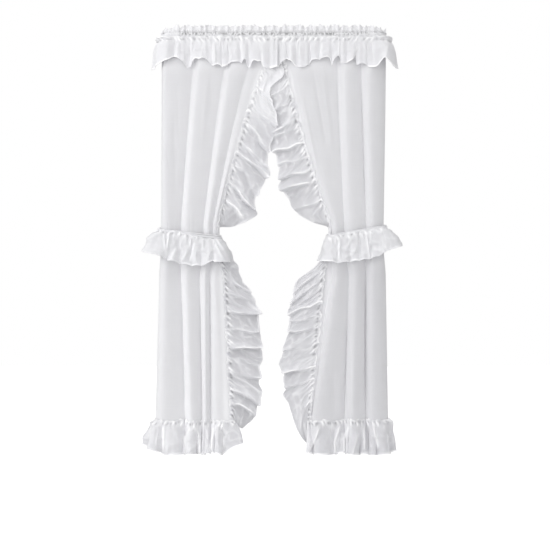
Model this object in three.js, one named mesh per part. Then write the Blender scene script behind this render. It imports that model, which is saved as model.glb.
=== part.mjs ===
// Pair of ruffled rod pocket curtains, each drawn back by a ruffled tie.
// Millimetres. X runs to the right as seen from the room, Y towards the wall and Z up.
// The origin is on the centre line of the rod that the pockets take, midway between its ends.

import * as THREE from "three";

// Cloth: its thickness, the gap between two sewn pieces and a little room for their curves
const SHEET = 1.2;
const SEAM_GAP = 0.3;
const SEAM_EASE = 0.4;
const LAP = SHEET + SEAM_GAP + SEAM_EASE;

// Line of the rod: a straight front, a round bend and a short return to the wall
const ROD_HALF = 415;
const ROD_BEND = 45;
const ROD_RETURN = 75;
const MIDDLE_GAP = 1;

// Heading: half the pocket's height, the frill above it, the small gathers and the ragged top edge
const POCKET_HALF = 15;
const FRILL_TOP = 45;
const HEADING_PITCH = 27;
const RAGGED_PITCH = 62;

// Heights of the seams and of the tie
const PANEL_TOP = -POCKET_HALF - SEAM_GAP - SHEET / 2;
const FREE_TOP = -109;
const TIE_HEIGHT = -733;
const TIE_ZONE = 38;
const FOOT_SEAM = -1430;
const FOOT_LAP = 6;
const PANEL_FOOT = FOOT_SEAM - FOOT_LAP;

// Grids of the sheets: steps along each piece, and columns from one fold line to the next
const HEADING_STEPS = 42;
const PANEL_COLUMNS = 4;
const SIDE_STEPS = 56;
const TIE_STEPS = 48;

// Ruffles: the narrow frill above a gather line, the pitch of the flutes, and the scallops of the
// hem, as a share of the flutes' depth and a multiple of their pitch
const FRILL = 9;
const TOP_PITCH = 44;
const SIDE_PITCH = 60;
const FOOT_PITCH = 50;
const TIE_PITCH = 50;
const SCALLOP_SHARE = 0.4;
const SCALLOP_STRETCH = 1.8;

// Side ruffle: how far down its flutes slant, and the small lumps along its seam
const SIDE_SLANT = 26;
const BEAD_DEPTH = 0.5;
const BEAD_PITCH = 27;

// Bottom ruffle: how far its hem stands out to the front
const FOOT_FLARE = 26;

// Tie ruffle: its gather line below the band's middle, and the depth of its flutes as a share of
// how far the hem stands out
const TIE_GATHER = 4;
const TIE_FLUTE_SHARE = 0.28;
const TIE_FLUTE_LEAST = 2;
const TIE_FLUTE_MOST = 13;

// Tie band, which lies against the foremost folds
const BAND_HEIGHT = 20;
const BAND_SHEET = 1.5;
const TIE_CREST = -22;
const BAND_FRONT = TIE_CREST - SHEET / 2 - SEAM_GAP - BAND_SHEET / 2;

// The pocket and its frill as one folded strip, from the back hem over the top to the front seam.
// out: distance in front of the rod line, up: height over it, sway: how far the gathers move it,
// ragged: how far the edge rises and falls.
const HEADING_SECTION = [
  { out: -1, up: -POCKET_HALF, sway: 0.6, ragged: 0 },
  { out: -8, up: -11, sway: 1.2, ragged: 0 },
  { out: -8, up: 10, sway: 1.2, ragged: 0 },
  { out: -1, up: POCKET_HALF, sway: 1.2, ragged: 0 },
  { out: -1, up: FRILL_TOP, sway: 7, ragged: 3 },
  { out: 1, up: FRILL_TOP, sway: 7, ragged: 3 },
  { out: 1, up: POCKET_HALF, sway: 1.2, ragged: 0 },
  { out: 8, up: 10, sway: 1.2, ragged: 0 },
  { out: 8, up: -11, sway: 1.2, ragged: 0 },
  { out: 1, up: -POCKET_HALF, sway: 0.6, ragged: 0 },
];

// Sections of the ruffles, from the top of the frill over the gather line down to the hem.
// up: height over the line that the ruffle is sewn along, out: how far it stands off what it is
// sewn to, wave: depth of the flutes, share: how far along it is from the gather line to the hem.
const TOP_RUFFLE_SECTION = [
  { up: -1, out: 3, wave: 1 },
  { up: -10, out: -0.2, wave: 0 },
  { up: -42, out: 11, wave: 6 },
  { up: -78, out: 20, wave: 10 },
  { up: -108, out: 27, wave: 13 },
];
const FOOT_RUFFLE_SECTION = [
  { up: FRILL, out: 1.5, wave: 0, share: 0 },
  { up: 0, out: 0, wave: 0, share: 0 },
  { up: -38, out: 0, wave: 5, share: 0.3 },
  { up: -78, out: 0, wave: 10, share: 0.65 },
  { up: -116, out: 0, wave: 14, share: 1 },
];
const TIE_RUFFLE_SECTION = [
  { up: 6, out: 1.5, wave: 0, share: 0 },
  { up: -TIE_GATHER, out: 0, wave: 0, share: 0 },
  { up: -TIE_GATHER, out: 0, wave: 0.35, share: 0.35 },
  { up: -TIE_GATHER, out: 0, wave: 0.75, share: 0.7 },
  { up: -TIE_GATHER, out: 0, wave: 1, share: 1 },
];
const SIDE_RUFFLE_SECTION = [
  { inset: FRILL, share: 0 },
  { inset: 0, share: 0 },
  { inset: 0, share: 0.3 },
  { inset: 0, share: 0.65 },
  { inset: 0, share: 1 },
];

// Fold lines of each panel, from the wall edge round the corner to the seam of the side ruffle.
// rod: place along the rod line from the middle. Each other pair is x, as a distance from the
// middle, and y, at the height where the panel comes free, at the tie and at the foot.
const LEFT_FOLDS = [
  { rod: 470, topX: 419, topY: 70, tieX: 408, tieY: 50, footX: 424, footY: 60 },
  { rod: 428, topX: 419, topY: 20, tieX: 422, tieY: 12, footX: 441, footY: 15 },
  { rod: 382, topX: 390, topY: -14, tieX: 392, tieY: -20, footX: 410, footY: -22 },
  { rod: 336, topX: 341, topY: 14, tieX: 356, tieY: 30, footX: 340, footY: 24 },
  { rod: 280, topX: 286, topY: -14, tieX: 326, tieY: TIE_CREST, footX: 321, footY: -20 },
  { rod: 208, topX: 219, topY: 14, tieX: 287, tieY: 30, footX: 291, footY: 22 },
  { rod: 126, topX: 141, topY: -14, tieX: 254, tieY: TIE_CREST, footX: 267, footY: -18 },
  { rod: 82, topX: 104, topY: 6, tieX: 234, tieY: 10, footX: 247, footY: 14 },
  { rod: 48, topX: 78, topY: -6, tieX: 219, tieY: -12, footX: 216, footY: -12 },
  { rod: 3, topX: 41, topY: 0, tieX: 204, tieY: 14, footX: 145, footY: 2 },
];
const RIGHT_FOLDS = [
  { rod: 470, topX: 418, topY: 70, tieX: 398, tieY: 50, footX: 412, footY: 60 },
  { rod: 428, topX: 420, topY: 22, tieX: 411, tieY: 14, footX: 423, footY: 16 },
  { rod: 372, topX: 367, topY: -14, tieX: 357, tieY: -20, footX: 360, footY: -20 },
  { rod: 316, topX: 312, topY: 14, tieX: 329, tieY: 30, footX: 336, footY: 26 },
  { rod: 266, topX: 267, topY: -14, tieX: 292, tieY: TIE_CREST, footX: 273, footY: -20 },
  { rod: 210, topX: 215, topY: 14, tieX: 267, tieY: 28, footX: 230, footY: 20 },
  { rod: 150, topX: 160, topY: -14, tieX: 244, tieY: -19, footX: 170, footY: -18 },
  { rod: 82, topX: 104, topY: 10, tieX: 221, tieY: -10, footX: 146, footY: 6 },
  { rod: 3, topX: 37, topY: 0, tieX: 204, tieY: 14, footX: 122, footY: 0 },
];

// Each side ruffle, down its seam. reach: how far the free edge stands inwards of the seam,
// drop: how far it hangs below it, back: how far it stands to the wall, flute: depth of its waves.
const LEFT_SIDE = [
  { z: -24, reach: 44, drop: 6, back: -6, flute: 2 },
  { z: -130, reach: 72, drop: 15, back: -12, flute: 5 },
  { z: -225, reach: 78, drop: 12, back: -12, flute: 7 },
  { z: -282, reach: 110, drop: 18, back: -6, flute: 9 },
  { z: -384, reach: 120, drop: 30, back: 0, flute: 12 },
  { z: -477, reach: 124, drop: 40, back: 6, flute: 15 },
  { z: -570, reach: 104, drop: 54, back: 10, flute: 15 },
  { z: -632, reach: 92, drop: 44, back: 14, flute: 11 },
  { z: -664, reach: 44, drop: 40, back: 20, flute: 5 },
  { z: -698, reach: 0, drop: 8, back: 30, flute: 2 },
  { z: -735, reach: -4, drop: 0, back: 32, flute: 1 },
  { z: -790, reach: 2, drop: 0, back: 28, flute: 2 },
  { z: -852, reach: 34, drop: 0, back: 16, flute: 7 },
  { z: -930, reach: 80, drop: 10, back: 12, flute: 13 },
  { z: -1000, reach: 114, drop: 4, back: 6, flute: 15 },
  { z: -1122, reach: 110, drop: 12, back: 6, flute: 15 },
  { z: -1241, reach: 106, drop: 12, back: 6, flute: 15 },
  { z: -1330, reach: 94, drop: 20, back: 8, flute: 14 },
  { z: -1390, reach: 64, drop: 30, back: 12, flute: 9 },
  { z: -1414, reach: 32, drop: 44, back: 14, flute: 4 },
];
const RIGHT_SIDE = [
  { z: -24, reach: 30, drop: 6, back: 14, flute: 2 },
  { z: -110, reach: 48, drop: 20, back: 16, flute: 4 },
  { z: -184, reach: 62, drop: 22, back: 16, flute: 6 },
  { z: -273, reach: 66, drop: 26, back: 14, flute: 8 },
  { z: -354, reach: 92, drop: 30, back: 14, flute: 10 },
  { z: -428, reach: 104, drop: 32, back: 8, flute: 15 },
  { z: -488, reach: 112, drop: 38, back: 8, flute: 15 },
  { z: -562, reach: 116, drop: 28, back: 10, flute: 14 },
  { z: -622, reach: 90, drop: 26, back: 14, flute: 10 },
  { z: -664, reach: 44, drop: 24, back: 20, flute: 5 },
  { z: -698, reach: 0, drop: 8, back: 30, flute: 2 },
  { z: -735, reach: -4, drop: 0, back: 32, flute: 1 },
  { z: -800, reach: 2, drop: 0, back: 28, flute: 2 },
  { z: -856, reach: 26, drop: 14, back: 18, flute: 6 },
  { z: -904, reach: 78, drop: 34, back: 16, flute: 12 },
  { z: -980, reach: 110, drop: 38, back: 8, flute: 15 },
  { z: -1108, reach: 116, drop: 20, back: 6, flute: 15 },
  { z: -1230, reach: 112, drop: 24, back: 6, flute: 15 },
  { z: -1330, reach: 92, drop: 26, back: 8, flute: 14 },
  { z: -1386, reach: 62, drop: 46, back: 14, flute: 9 },
  { z: -1414, reach: 32, drop: 88, back: 14, flute: 4 },
];

// Loop of each tie band: its corners and their rounding, seen from above, from the wall over the
// front to the window side and back, x as a distance from the middle. z: the band's mid height,
// flare: how far the ruffle's edge stands out from the band, drop: how far it hangs below it.
const LEFT_TIE = [
  { x: 424, y: 64, round: 8, z: -714, flare: 5, drop: 92 },
  { x: 427, y: BAND_FRONT, round: 26, z: -721, flare: 60, drop: 62 },
  { x: 340, y: BAND_FRONT, round: 9, z: -731, flare: 36, drop: 102 },
  { x: 250, y: BAND_FRONT, round: 9, z: -743, flare: 34, drop: 106 },
  { x: 198, y: BAND_FRONT, round: 14, z: -748, flare: 54, drop: 100 },
  { x: 198, y: 34, round: 9, z: -747, flare: 44, drop: 98 },
  { x: 198, y: 58, round: 13, z: -744, flare: 6, drop: 96 },
];
const RIGHT_TIE = [
  { x: 414, y: 64, round: 8, z: -704, flare: 5, drop: 92 },
  { x: 418, y: BAND_FRONT, round: 26, z: -709, flare: 58, drop: 68 },
  { x: 340, y: BAND_FRONT, round: 9, z: -721, flare: 36, drop: 108 },
  { x: 250, y: BAND_FRONT, round: 9, z: -736, flare: 34, drop: 106 },
  { x: 198, y: BAND_FRONT, round: 14, z: -744, flare: 38, drop: 92 },
  { x: 198, y: 34, round: 9, z: -743, flare: 38, drop: 94 },
  { x: 198, y: 58, round: 13, z: -740, flare: 6, drop: 96 },
];

// What differs between the two curtains. hand: -1 left, +1 right. draw: how soon the folds swing
// out to the tie on the way down. shift: where the flutes start, so that no two edges are alike.
// footOut and footIn: how far the bottom ruffle's hem stands out past the panel's wall side and
// towards the window.
const CURTAINS = [
  {
    name: "left", hand: -1, folds: LEFT_FOLDS, side: LEFT_SIDE, tie: LEFT_TIE,
    draw: 0.8, shift: 0, footOut: 44, footIn: 26,
  },
  {
    name: "right", hand: 1, folds: RIGHT_FOLDS, side: RIGHT_SIDE, tie: RIGHT_TIE,
    draw: 1.25, shift: 17, footOut: 28, footIn: -8,
  },
];

// Heights of the panel's rows
const PANEL_ROWS = [
  PANEL_TOP, -60, FREE_TOP, -210, -330, -460, -590,
  TIE_HEIGHT + TIE_ZONE, TIE_HEIGHT - TIE_ZONE, -880, -1050, -1240, PANEL_FOOT,
];

const mix = THREE.MathUtils.lerp;
const clamp01 = (t) => THREE.MathUtils.clamp(t, 0, 1);
const smooth = (t) => THREE.MathUtils.smoothstep(t, 0, 1);

// An uneven wave of about the given pitch, between -1 and 1: a main wave that wanders, and a weaker
// one of another pitch, so that no two flutes are alike.
const MAIN_SHARE = 0.68;
const WANDER = { depth: 0.9, rate: 0.382, start: 1.3 };
const SECOND = { rate: 1.618, start: 0.4 };
function flute(length, pitch) {
  const turn = (2 * Math.PI * length) / pitch;
  const wander = WANDER.depth * Math.sin(WANDER.rate * turn + WANDER.start);
  const second = Math.sin(SECOND.rate * turn + SECOND.start);
  return MAIN_SHARE * Math.sin(turn + wander) + (1 - MAIN_SHARE) * second;
}

// A smooth curve through the values at 0, 1, 2 and so on, read at place t.
function through(values, t) {
  const last = values.length - 1;
  const k = Math.min(Math.floor(t), last - 1);
  const f = t - k;
  const before = values[Math.max(k - 1, 0)];
  const after = values[Math.min(k + 2, last)];
  const slopeA = (values[k + 1] - before) / (k > 0 ? 2 : 1);
  const slopeB = (after - values[k]) / (k + 2 <= last ? 2 : 1);
  const f2 = f * f;
  const f3 = f2 * f;
  return (
    values[k] * (2 * f3 - 3 * f2 + 1) +
    slopeA * (f3 - 2 * f2 + f) +
    values[k + 1] * (3 * f2 - 2 * f3) +
    slopeB * (f3 - f2)
  );
}

// A row of a table with named columns, read between its rows at the given value of the key column.
function readTable(rows, key, value) {
  const rising = rows[rows.length - 1][key] > rows[0][key];
  const passed = rows.filter((row) => (rising ? row[key] <= value : row[key] >= value)).length;
  const k = THREE.MathUtils.clamp(passed - 1, 0, rows.length - 2);
  const a = rows[k];
  const b = rows[k + 1];
  const t = clamp01((value - a[key]) / (b[key] - a[key]));
  const read = {};
  for (const column of Object.keys(a)) read[column] = mix(a[column], b[column], t);
  return read;
}

// A thin closed sheet over a grid of points, half its thickness to each side.
function sheetGeometry(grid, thickness) {
  const rows = grid.length;
  const columns = grid[0].length;
  const index = (side, r, c) => (side * rows + r) * columns + c;
  const positions = [];
  for (const side of [0.5, -0.5]) {
    for (let r = 0; r < rows; r++) {
      for (let c = 0; c < columns; c++) {
        const down = grid[Math.min(r + 1, rows - 1)][c].clone().sub(grid[Math.max(r - 1, 0)][c]);
        const across = grid[r][Math.min(c + 1, columns - 1)].clone().sub(grid[r][Math.max(c - 1, 0)]);
        const normal = across.cross(down).normalize();
        positions.push(...grid[r][c].clone().addScaledVector(normal, side * thickness).toArray());
      }
    }
  }
  const faces = [];
  const quad = (a, b, c, d) => faces.push(a, b, c, a, c, d);
  for (let r = 0; r + 1 < rows; r++) {
    for (let c = 0; c + 1 < columns; c++) {
      quad(index(0, r, c), index(0, r, c + 1), index(0, r + 1, c + 1), index(0, r + 1, c));
      quad(index(1, r, c), index(1, r + 1, c), index(1, r + 1, c + 1), index(1, r, c + 1));
    }
  }
  const rim = (r0, c0, r1, c1) =>
    quad(index(0, r0, c0), index(1, r0, c0), index(1, r1, c1), index(0, r1, c1));
  for (let c = 0; c + 1 < columns; c++) {
    rim(0, c, 0, c + 1);
    rim(rows - 1, c + 1, rows - 1, c);
  }
  for (let r = 0; r + 1 < rows; r++) {
    rim(r + 1, 0, r, 0);
    rim(r, columns - 1, r + 1, columns - 1);
  }
  const geometry = new THREE.BufferGeometry();
  geometry.setAttribute("position", new THREE.Float32BufferAttribute(positions, 3));
  geometry.setIndex(faces);
  geometry.computeVertexNormals();
  return geometry;
}

// The rod line at a distance from the middle: a point, and the way out of the window from it.
function rodLine(hand, along) {
  const straight = ROD_HALF - ROD_BEND;
  const arc = (Math.PI / 2) * ROD_BEND;
  const angle = clamp01((along - straight) / arc) * (Math.PI / 2);
  const x = Math.min(along, straight) + ROD_BEND * Math.sin(angle);
  const y = ROD_BEND * (1 - Math.cos(angle)) + Math.max(along - straight - arc, 0);
  return {
    point: new THREE.Vector3(hand * x, y, 0),
    out: new THREE.Vector3(hand * Math.sin(angle), -Math.cos(angle), 0),
  };
}
const ROD_LENGTH = ROD_HALF - ROD_BEND + (Math.PI / 2) * ROD_BEND + ROD_RETURN - ROD_BEND;

// Places along the rod line, from the wall end to the middle for the left curtain and from the
// middle to the wall end for the right one, so that every sheet runs from left to right.
function rodPlaces(curtain, steps) {
  const places = [];
  for (let i = 0; i <= steps; i++) places.push(mix(MIDDLE_GAP / 2, ROD_LENGTH, i / steps));
  return curtain.hand < 0 ? places.reverse() : places;
}

// The small gathers of the heading at a place along the rod line.
const gather = (curtain, along) => flute(along + curtain.shift, HEADING_PITCH);

// Pocket and frill: the folded section, swayed by the gathers, carried along the rod line.
function headingGeometry(curtain) {
  const places = rodPlaces(curtain, HEADING_STEPS);
  const grid = HEADING_SECTION.map(({ out, up, sway, ragged }) =>
    places.map((along) => {
      const rod = rodLine(curtain.hand, along);
      return rod.point
        .addScaledVector(rod.out, out + sway * gather(curtain, along))
        .setZ(up + ragged * flute(along + curtain.shift, RAGGED_PITCH));
    }),
  );
  return sheetGeometry(grid.reverse(), SHEET);
}

// Where each fold line of a panel stands at a height: on the rod line at the top, then between
// the places that its row of the table gives.
function foldPlaces(curtain, z) {
  const free = smooth(clamp01((PANEL_TOP - z) / (PANEL_TOP - FREE_TOP)));
  const drawn = clamp01((FREE_TOP - z) / (FREE_TOP - TIE_HEIGHT - TIE_ZONE)) ** curtain.draw;
  const fallen = clamp01((TIE_HEIGHT - TIE_ZONE - z) / (TIE_HEIGHT - TIE_ZONE - PANEL_FOOT));
  return curtain.folds.map((fold) => {
    const rod = rodLine(curtain.hand, fold.rod).point;
    const x = mix(mix(fold.topX, fold.tieX, drawn), fold.footX, fallen);
    const y = mix(mix(fold.topY, fold.tieY, drawn), fold.footY, fallen);
    return new THREE.Vector2(mix(rod.x, curtain.hand * x, free), mix(rod.y, y, free));
  });
}

// Panel: at each height a smooth curve through the fold lines.
function panelGrid(curtain) {
  const steps = (curtain.folds.length - 1) * PANEL_COLUMNS;
  return PANEL_ROWS.map((z) => {
    const places = foldPlaces(curtain, z);
    const xs = places.map((place) => place.x);
    const ys = places.map((place) => place.y);
    const row = [];
    for (let i = 0; i <= steps; i++) {
      const t = i / PANEL_COLUMNS;
      row.push(new THREE.Vector3(through(xs, t), through(ys, t), z));
    }
    return curtain.hand < 0 ? row : row.reverse();
  });
}

// The panel's inner edge at a height, and the frame of the cloth there: inwards and to the front.
function innerEdge(curtain, grid, z) {
  const rows = grid.map((row, k) => {
    const [edge, next] = curtain.hand < 0 ? row.slice(-2).reverse() : row.slice(0, 2);
    return { z: PANEL_ROWS[k], x: edge.x, y: edge.y, nextX: next.x, nextY: next.y };
  });
  const here = readTable(rows, "z", z);
  const inwards = new THREE.Vector3(here.x - here.nextX, here.y - here.nextY, 0).normalize();
  const front = new THREE.Vector3(-curtain.hand * inwards.y, curtain.hand * inwards.x, 0);
  return { point: new THREE.Vector3(here.x, here.y, z), inwards, front };
}

// Side ruffle: a narrow frill over the panel's edge, then from the seam to the free edge, with
// flutes that deepen outwards and slant down with the drop.
function sideRuffleGeometry(curtain, panel) {
  const top = curtain.side[0].z;
  const foot = curtain.side[curtain.side.length - 1].z;
  const grid = [];
  for (let i = 0; i <= SIDE_STEPS; i++) {
    const z = mix(top, foot, i / SIDE_STEPS);
    const row = readTable(curtain.side, "z", z);
    const edge = innerEdge(curtain, panel, z);
    const beads = BEAD_DEPTH * (1 + flute(-z, BEAD_PITCH));
    const seam = edge.point.clone().addScaledVector(edge.front, LAP + beads);
    const reach = new THREE.Vector3(-curtain.hand * row.reach, row.back, -row.drop);
    const points = SIDE_RUFFLE_SECTION.map(({ inset, share }) => {
      const along = curtain.shift - z - SIDE_SLANT * share;
      const scallop = SCALLOP_SHARE * row.flute * flute(along, SCALLOP_STRETCH * SIDE_PITCH);
      const point = seam.clone().addScaledVector(edge.inwards, -inset).addScaledVector(reach, share);
      point.x -= curtain.hand * scallop * share;
      point.y += row.flute * flute(along, SIDE_PITCH) * share;
      return point;
    });
    grid.push(curtain.hand < 0 ? points : points.reverse());
  }
  return sheetGeometry(grid, SHEET);
}

// Top ruffle: sewn to the front of the pocket, with a narrow frill above the gather line, and
// hanging outwards all round the rod line.
function topRuffleGeometry(curtain) {
  const places = rodPlaces(curtain, HEADING_STEPS);
  const pocketFront = HEADING_SECTION[HEADING_SECTION.length - 2];
  const grid = TOP_RUFFLE_SECTION.map(({ up, out, wave }) =>
    places.map((along) => {
      const rod = rodLine(curtain.hand, along);
      const wall = pocketFront.out + pocketFront.sway * gather(curtain, along);
      const swing = wave * flute(along + curtain.shift, TOP_PITCH);
      const lift = SCALLOP_SHARE * wave * flute(along, SCALLOP_STRETCH * TOP_PITCH);
      return rod.point.addScaledVector(rod.out, wall + LAP + out + swing).setZ(up + lift);
    }),
  );
  return sheetGeometry(grid, SHEET);
}

// Bottom ruffle: sewn to the front of the panel's foot, with a narrow frill above the gather line.
// It follows the panel's folds and swings out of them towards its hem.
function bottomRuffleGeometry(curtain, panel) {
  const foot = panel[panel.length - 1];
  const last = foot.length - 1;
  const rods = curtain.folds.map((fold) => fold.rod);
  const grid = FOOT_RUFFLE_SECTION.map(({ up, out, wave, share }) =>
    foot.map((point, c) => {
      const run = foot[Math.min(c + 1, last)].clone().sub(foot[Math.max(c - 1, 0)]).normalize();
      const front = new THREE.Vector3(run.y, -run.x, 0);
      const column = curtain.hand < 0 ? c : last - c;
      const along = through(rods, column / PANEL_COLUMNS);
      const away = rodLine(curtain.hand, along).out;
      const flare = mix(FOOT_FLARE, curtain.footOut, Math.abs(away.x));
      const inner = smooth(clamp01((column - last) / PANEL_COLUMNS + 1)) * curtain.footIn;
      const swing = wave * flute(along + curtain.shift, FOOT_PITCH);
      const lift = SCALLOP_SHARE * wave * flute(along, SCALLOP_STRETCH * FOOT_PITCH);
      const side = new THREE.Vector3(-curtain.hand * inner * share, 0, 0);
      return point
        .clone()
        .addScaledVector(front, LAP + out + swing)
        .addScaledVector(away, flare * share)
        .add(side)
        .setZ(FOOT_SEAM + up + lift);
    }),
  );
  return sheetGeometry(grid, SHEET);
}

// The loop of a tie band at a share of its way round, from the wall over the front and back.
function tieLoop(curtain) {
  const path = new THREE.CurvePath();
  const corners = curtain.tie.map(({ x, y }) => new THREE.Vector3(curtain.hand * x, y, 0));
  const count = corners.length;
  const bends = corners.map((corner, k) => {
    const before = corners[(k + count - 1) % count].clone().sub(corner).normalize();
    const after = corners[(k + 1) % count].clone().sub(corner).normalize();
    const round = curtain.tie[k].round;
    return {
      corner,
      start: corner.clone().addScaledVector(before, round),
      end: corner.clone().addScaledVector(after, round),
    };
  });
  bends.forEach(({ corner, start, end }, k) => {
    path.add(new THREE.QuadraticBezierCurve3(start, corner, end));
    path.add(new THREE.LineCurve3(end, bends[(k + 1) % count].start));
  });
  return path;
}

// Evenly spaced places round a tie's loop, with the values of its table between the corners.
function tiePlaces(curtain, steps) {
  const path = tieLoop(curtain);
  const lengths = path.getCurveLengths();
  const total = lengths[lengths.length - 1];
  const table = curtain.tie.map((corner, k) => {
    const start = k > 0 ? lengths[2 * k - 1] : 0;
    return { along: (start + lengths[2 * k]) / 2, ...corner };
  });
  table.push({ ...table[0], along: total });
  const places = [];
  for (let i = 0; i < steps; i++) {
    const share = i / steps;
    const point = path.getPointAt(share);
    const run = path.getTangentAt(share);
    const { z, flare, drop } = readTable(table, "along", share * total);
    const out = new THREE.Vector3(-curtain.hand * run.y, curtain.hand * run.x, 0);
    places.push({ along: share * total, total, point: point.setZ(z), out, flare, drop });
  }
  return places;
}

// Tie band: a flat closed band round the loop.
function tieBandGeometry(curtain) {
  const places = tiePlaces(curtain, TIE_STEPS);
  const corners = [
    { out: BAND_SHEET / 2, up: BAND_HEIGHT / 2 },
    { out: BAND_SHEET / 2, up: -BAND_HEIGHT / 2 },
    { out: -BAND_SHEET / 2, up: -BAND_HEIGHT / 2 },
    { out: -BAND_SHEET / 2, up: BAND_HEIGHT / 2 },
  ];
  const positions = [];
  for (const { point, out } of places) {
    for (const corner of corners) {
      const at = point.clone().addScaledVector(out, corner.out);
      positions.push(at.x, at.y, at.z + corner.up);
    }
  }
  const faces = [];
  const count = corners.length;
  places.forEach((_, i) => {
    const next = (i + 1) % places.length;
    for (let k = 0; k < count; k++) {
      const a = i * count + k;
      const b = i * count + ((k + 1) % count);
      const c = next * count + ((k + 1) % count);
      const d = next * count + k;
      if (curtain.hand < 0) faces.push(a, b, c, a, c, d);
      else faces.push(a, c, b, a, d, c);
    }
  });
  const geometry = new THREE.BufferGeometry();
  geometry.setAttribute("position", new THREE.Float32BufferAttribute(positions, 3));
  geometry.setIndex(faces);
  geometry.computeVertexNormals();
  return geometry;
}

// Tie ruffle: sewn to the outside of the band, from the wall round the curtain and back.
function tieRuffleGeometry(curtain) {
  const lap = (BAND_SHEET + SHEET + SEAM_EASE) / 2 + SEAM_GAP;
  const places = tiePlaces(curtain, TIE_STEPS);
  const grid = TIE_RUFFLE_SECTION.map(({ up, out, wave, share }) =>
    places.map((place) => {
      const depth = Math.min(TIE_FLUTE_LEAST + TIE_FLUTE_SHARE * place.flare, TIE_FLUTE_MOST);
      const swing = wave * depth * flute(place.along + curtain.shift, TIE_PITCH);
      const reach = lap + out + share * place.flare + swing;
      return place.point
        .clone()
        .addScaledVector(place.out, reach)
        .add(new THREE.Vector3(0, 0, up - share * (place.drop - TIE_GATHER)));
    }),
  );
  if (curtain.hand > 0) grid.forEach((row) => row.reverse());
  return sheetGeometry(grid, SHEET);
}

// Materials of the white cloth, one for each kind of piece.
const CLOTH = { roughness: 0.9, metalness: 0, side: THREE.DoubleSide };
const panelCloth = () => new THREE.MeshStandardMaterial({ ...CLOTH, color: 0xeff0f1 });
const ruffleCloth = () => new THREE.MeshStandardMaterial({ ...CLOTH, color: 0xf4f4f4 });
const tieCloth = () => new THREE.MeshStandardMaterial({ ...CLOTH, color: 0xf6f6f6 });

const curtains = new THREE.Group();

function addPiece(name, geometry, material) {
  const piece = new THREE.Mesh(geometry, material);
  piece.name = name;
  curtains.add(piece);
}

for (const curtain of CURTAINS) {
  const panel = panelGrid(curtain);
  addPiece(curtain.name + "_heading", headingGeometry(curtain), panelCloth());
  addPiece(curtain.name + "_panel", sheetGeometry(panel, SHEET), panelCloth());
  addPiece(curtain.name + "_top_ruffle", topRuffleGeometry(curtain), ruffleCloth());
  addPiece(curtain.name + "_side_ruffle", sideRuffleGeometry(curtain, panel), ruffleCloth());
  addPiece(curtain.name + "_bottom_ruffle", bottomRuffleGeometry(curtain, panel), ruffleCloth());
  addPiece(curtain.name + "_tie_band", tieBandGeometry(curtain), tieCloth());
  addPiece(curtain.name + "_tie_ruffle", tieRuffleGeometry(curtain), tieCloth());
}

export default curtains;
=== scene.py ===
"""Looks of a pair of white ruffled rod pocket curtains, each drawn back by a ruffled tie.

Every cloth is a thin closed sheet over a grid of points. The grids are worked out in millimetres, in the
frame of the solids: X to the right as seen from the front, Y to the back, Z up, with the origin on the
rod's centre line at mid span.
"""

from types import SimpleNamespace
from typing import NamedTuple

import bpy
import numpy as np
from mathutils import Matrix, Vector


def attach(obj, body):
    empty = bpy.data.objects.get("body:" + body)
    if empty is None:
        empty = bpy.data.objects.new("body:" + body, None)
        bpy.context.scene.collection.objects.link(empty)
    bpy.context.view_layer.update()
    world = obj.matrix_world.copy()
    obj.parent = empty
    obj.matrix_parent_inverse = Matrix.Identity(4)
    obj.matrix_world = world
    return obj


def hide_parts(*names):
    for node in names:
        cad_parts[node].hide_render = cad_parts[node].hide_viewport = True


bl_info = {
    "name": "Ruffled curtains",
    "version": (1, 0, 0),
    "blender": (4, 5, 0),
    "location": "View3D > Sidebar > Curtains",
    "description": "Dresses the solids of a pair of ruffled, tied back curtains",
    "category": "Object",
}

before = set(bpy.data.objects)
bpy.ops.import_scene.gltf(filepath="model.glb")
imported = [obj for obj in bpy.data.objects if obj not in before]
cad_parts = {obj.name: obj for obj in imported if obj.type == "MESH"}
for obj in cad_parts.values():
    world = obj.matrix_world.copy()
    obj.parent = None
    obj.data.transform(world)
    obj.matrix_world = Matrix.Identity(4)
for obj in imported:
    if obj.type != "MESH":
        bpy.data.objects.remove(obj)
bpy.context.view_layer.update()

MM = 0.001


def table(columns, *rows):
    """A short table as one array for each named column."""
    return SimpleNamespace(**dict(zip(columns.split(), np.array(rows, float).T)))


# Line of the rod: a straight front, a round bend and a short return to the back
ROD_HALF = 415
ROD_BEND = 45
ROD_RETURN = 75
ROD_STRAIGHT = ROD_HALF - ROD_BEND
ROD_ARC = np.pi / 2 * ROD_BEND
ROD_LENGTH = ROD_STRAIGHT + ROD_ARC + ROD_RETURN - ROD_BEND
MIDDLE_GAP = 1

# Heights of the seams and of the tie
PANEL_TOP = -15.9
FREE_TOP = -109
TIE_HEIGHT = -733
TIE_ZONE = 38
LOW_HEIGHT = -900
FOOT_SEAM = -1430
PANEL_FOOT = -1436

# Seams: how far a sewn-on piece stands off the cloth behind it, the frill above a gather line, and the
# front run of the tie bands
LAP = 1.9
FRILL = 12
BAND_FRONT = -23.65

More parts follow.
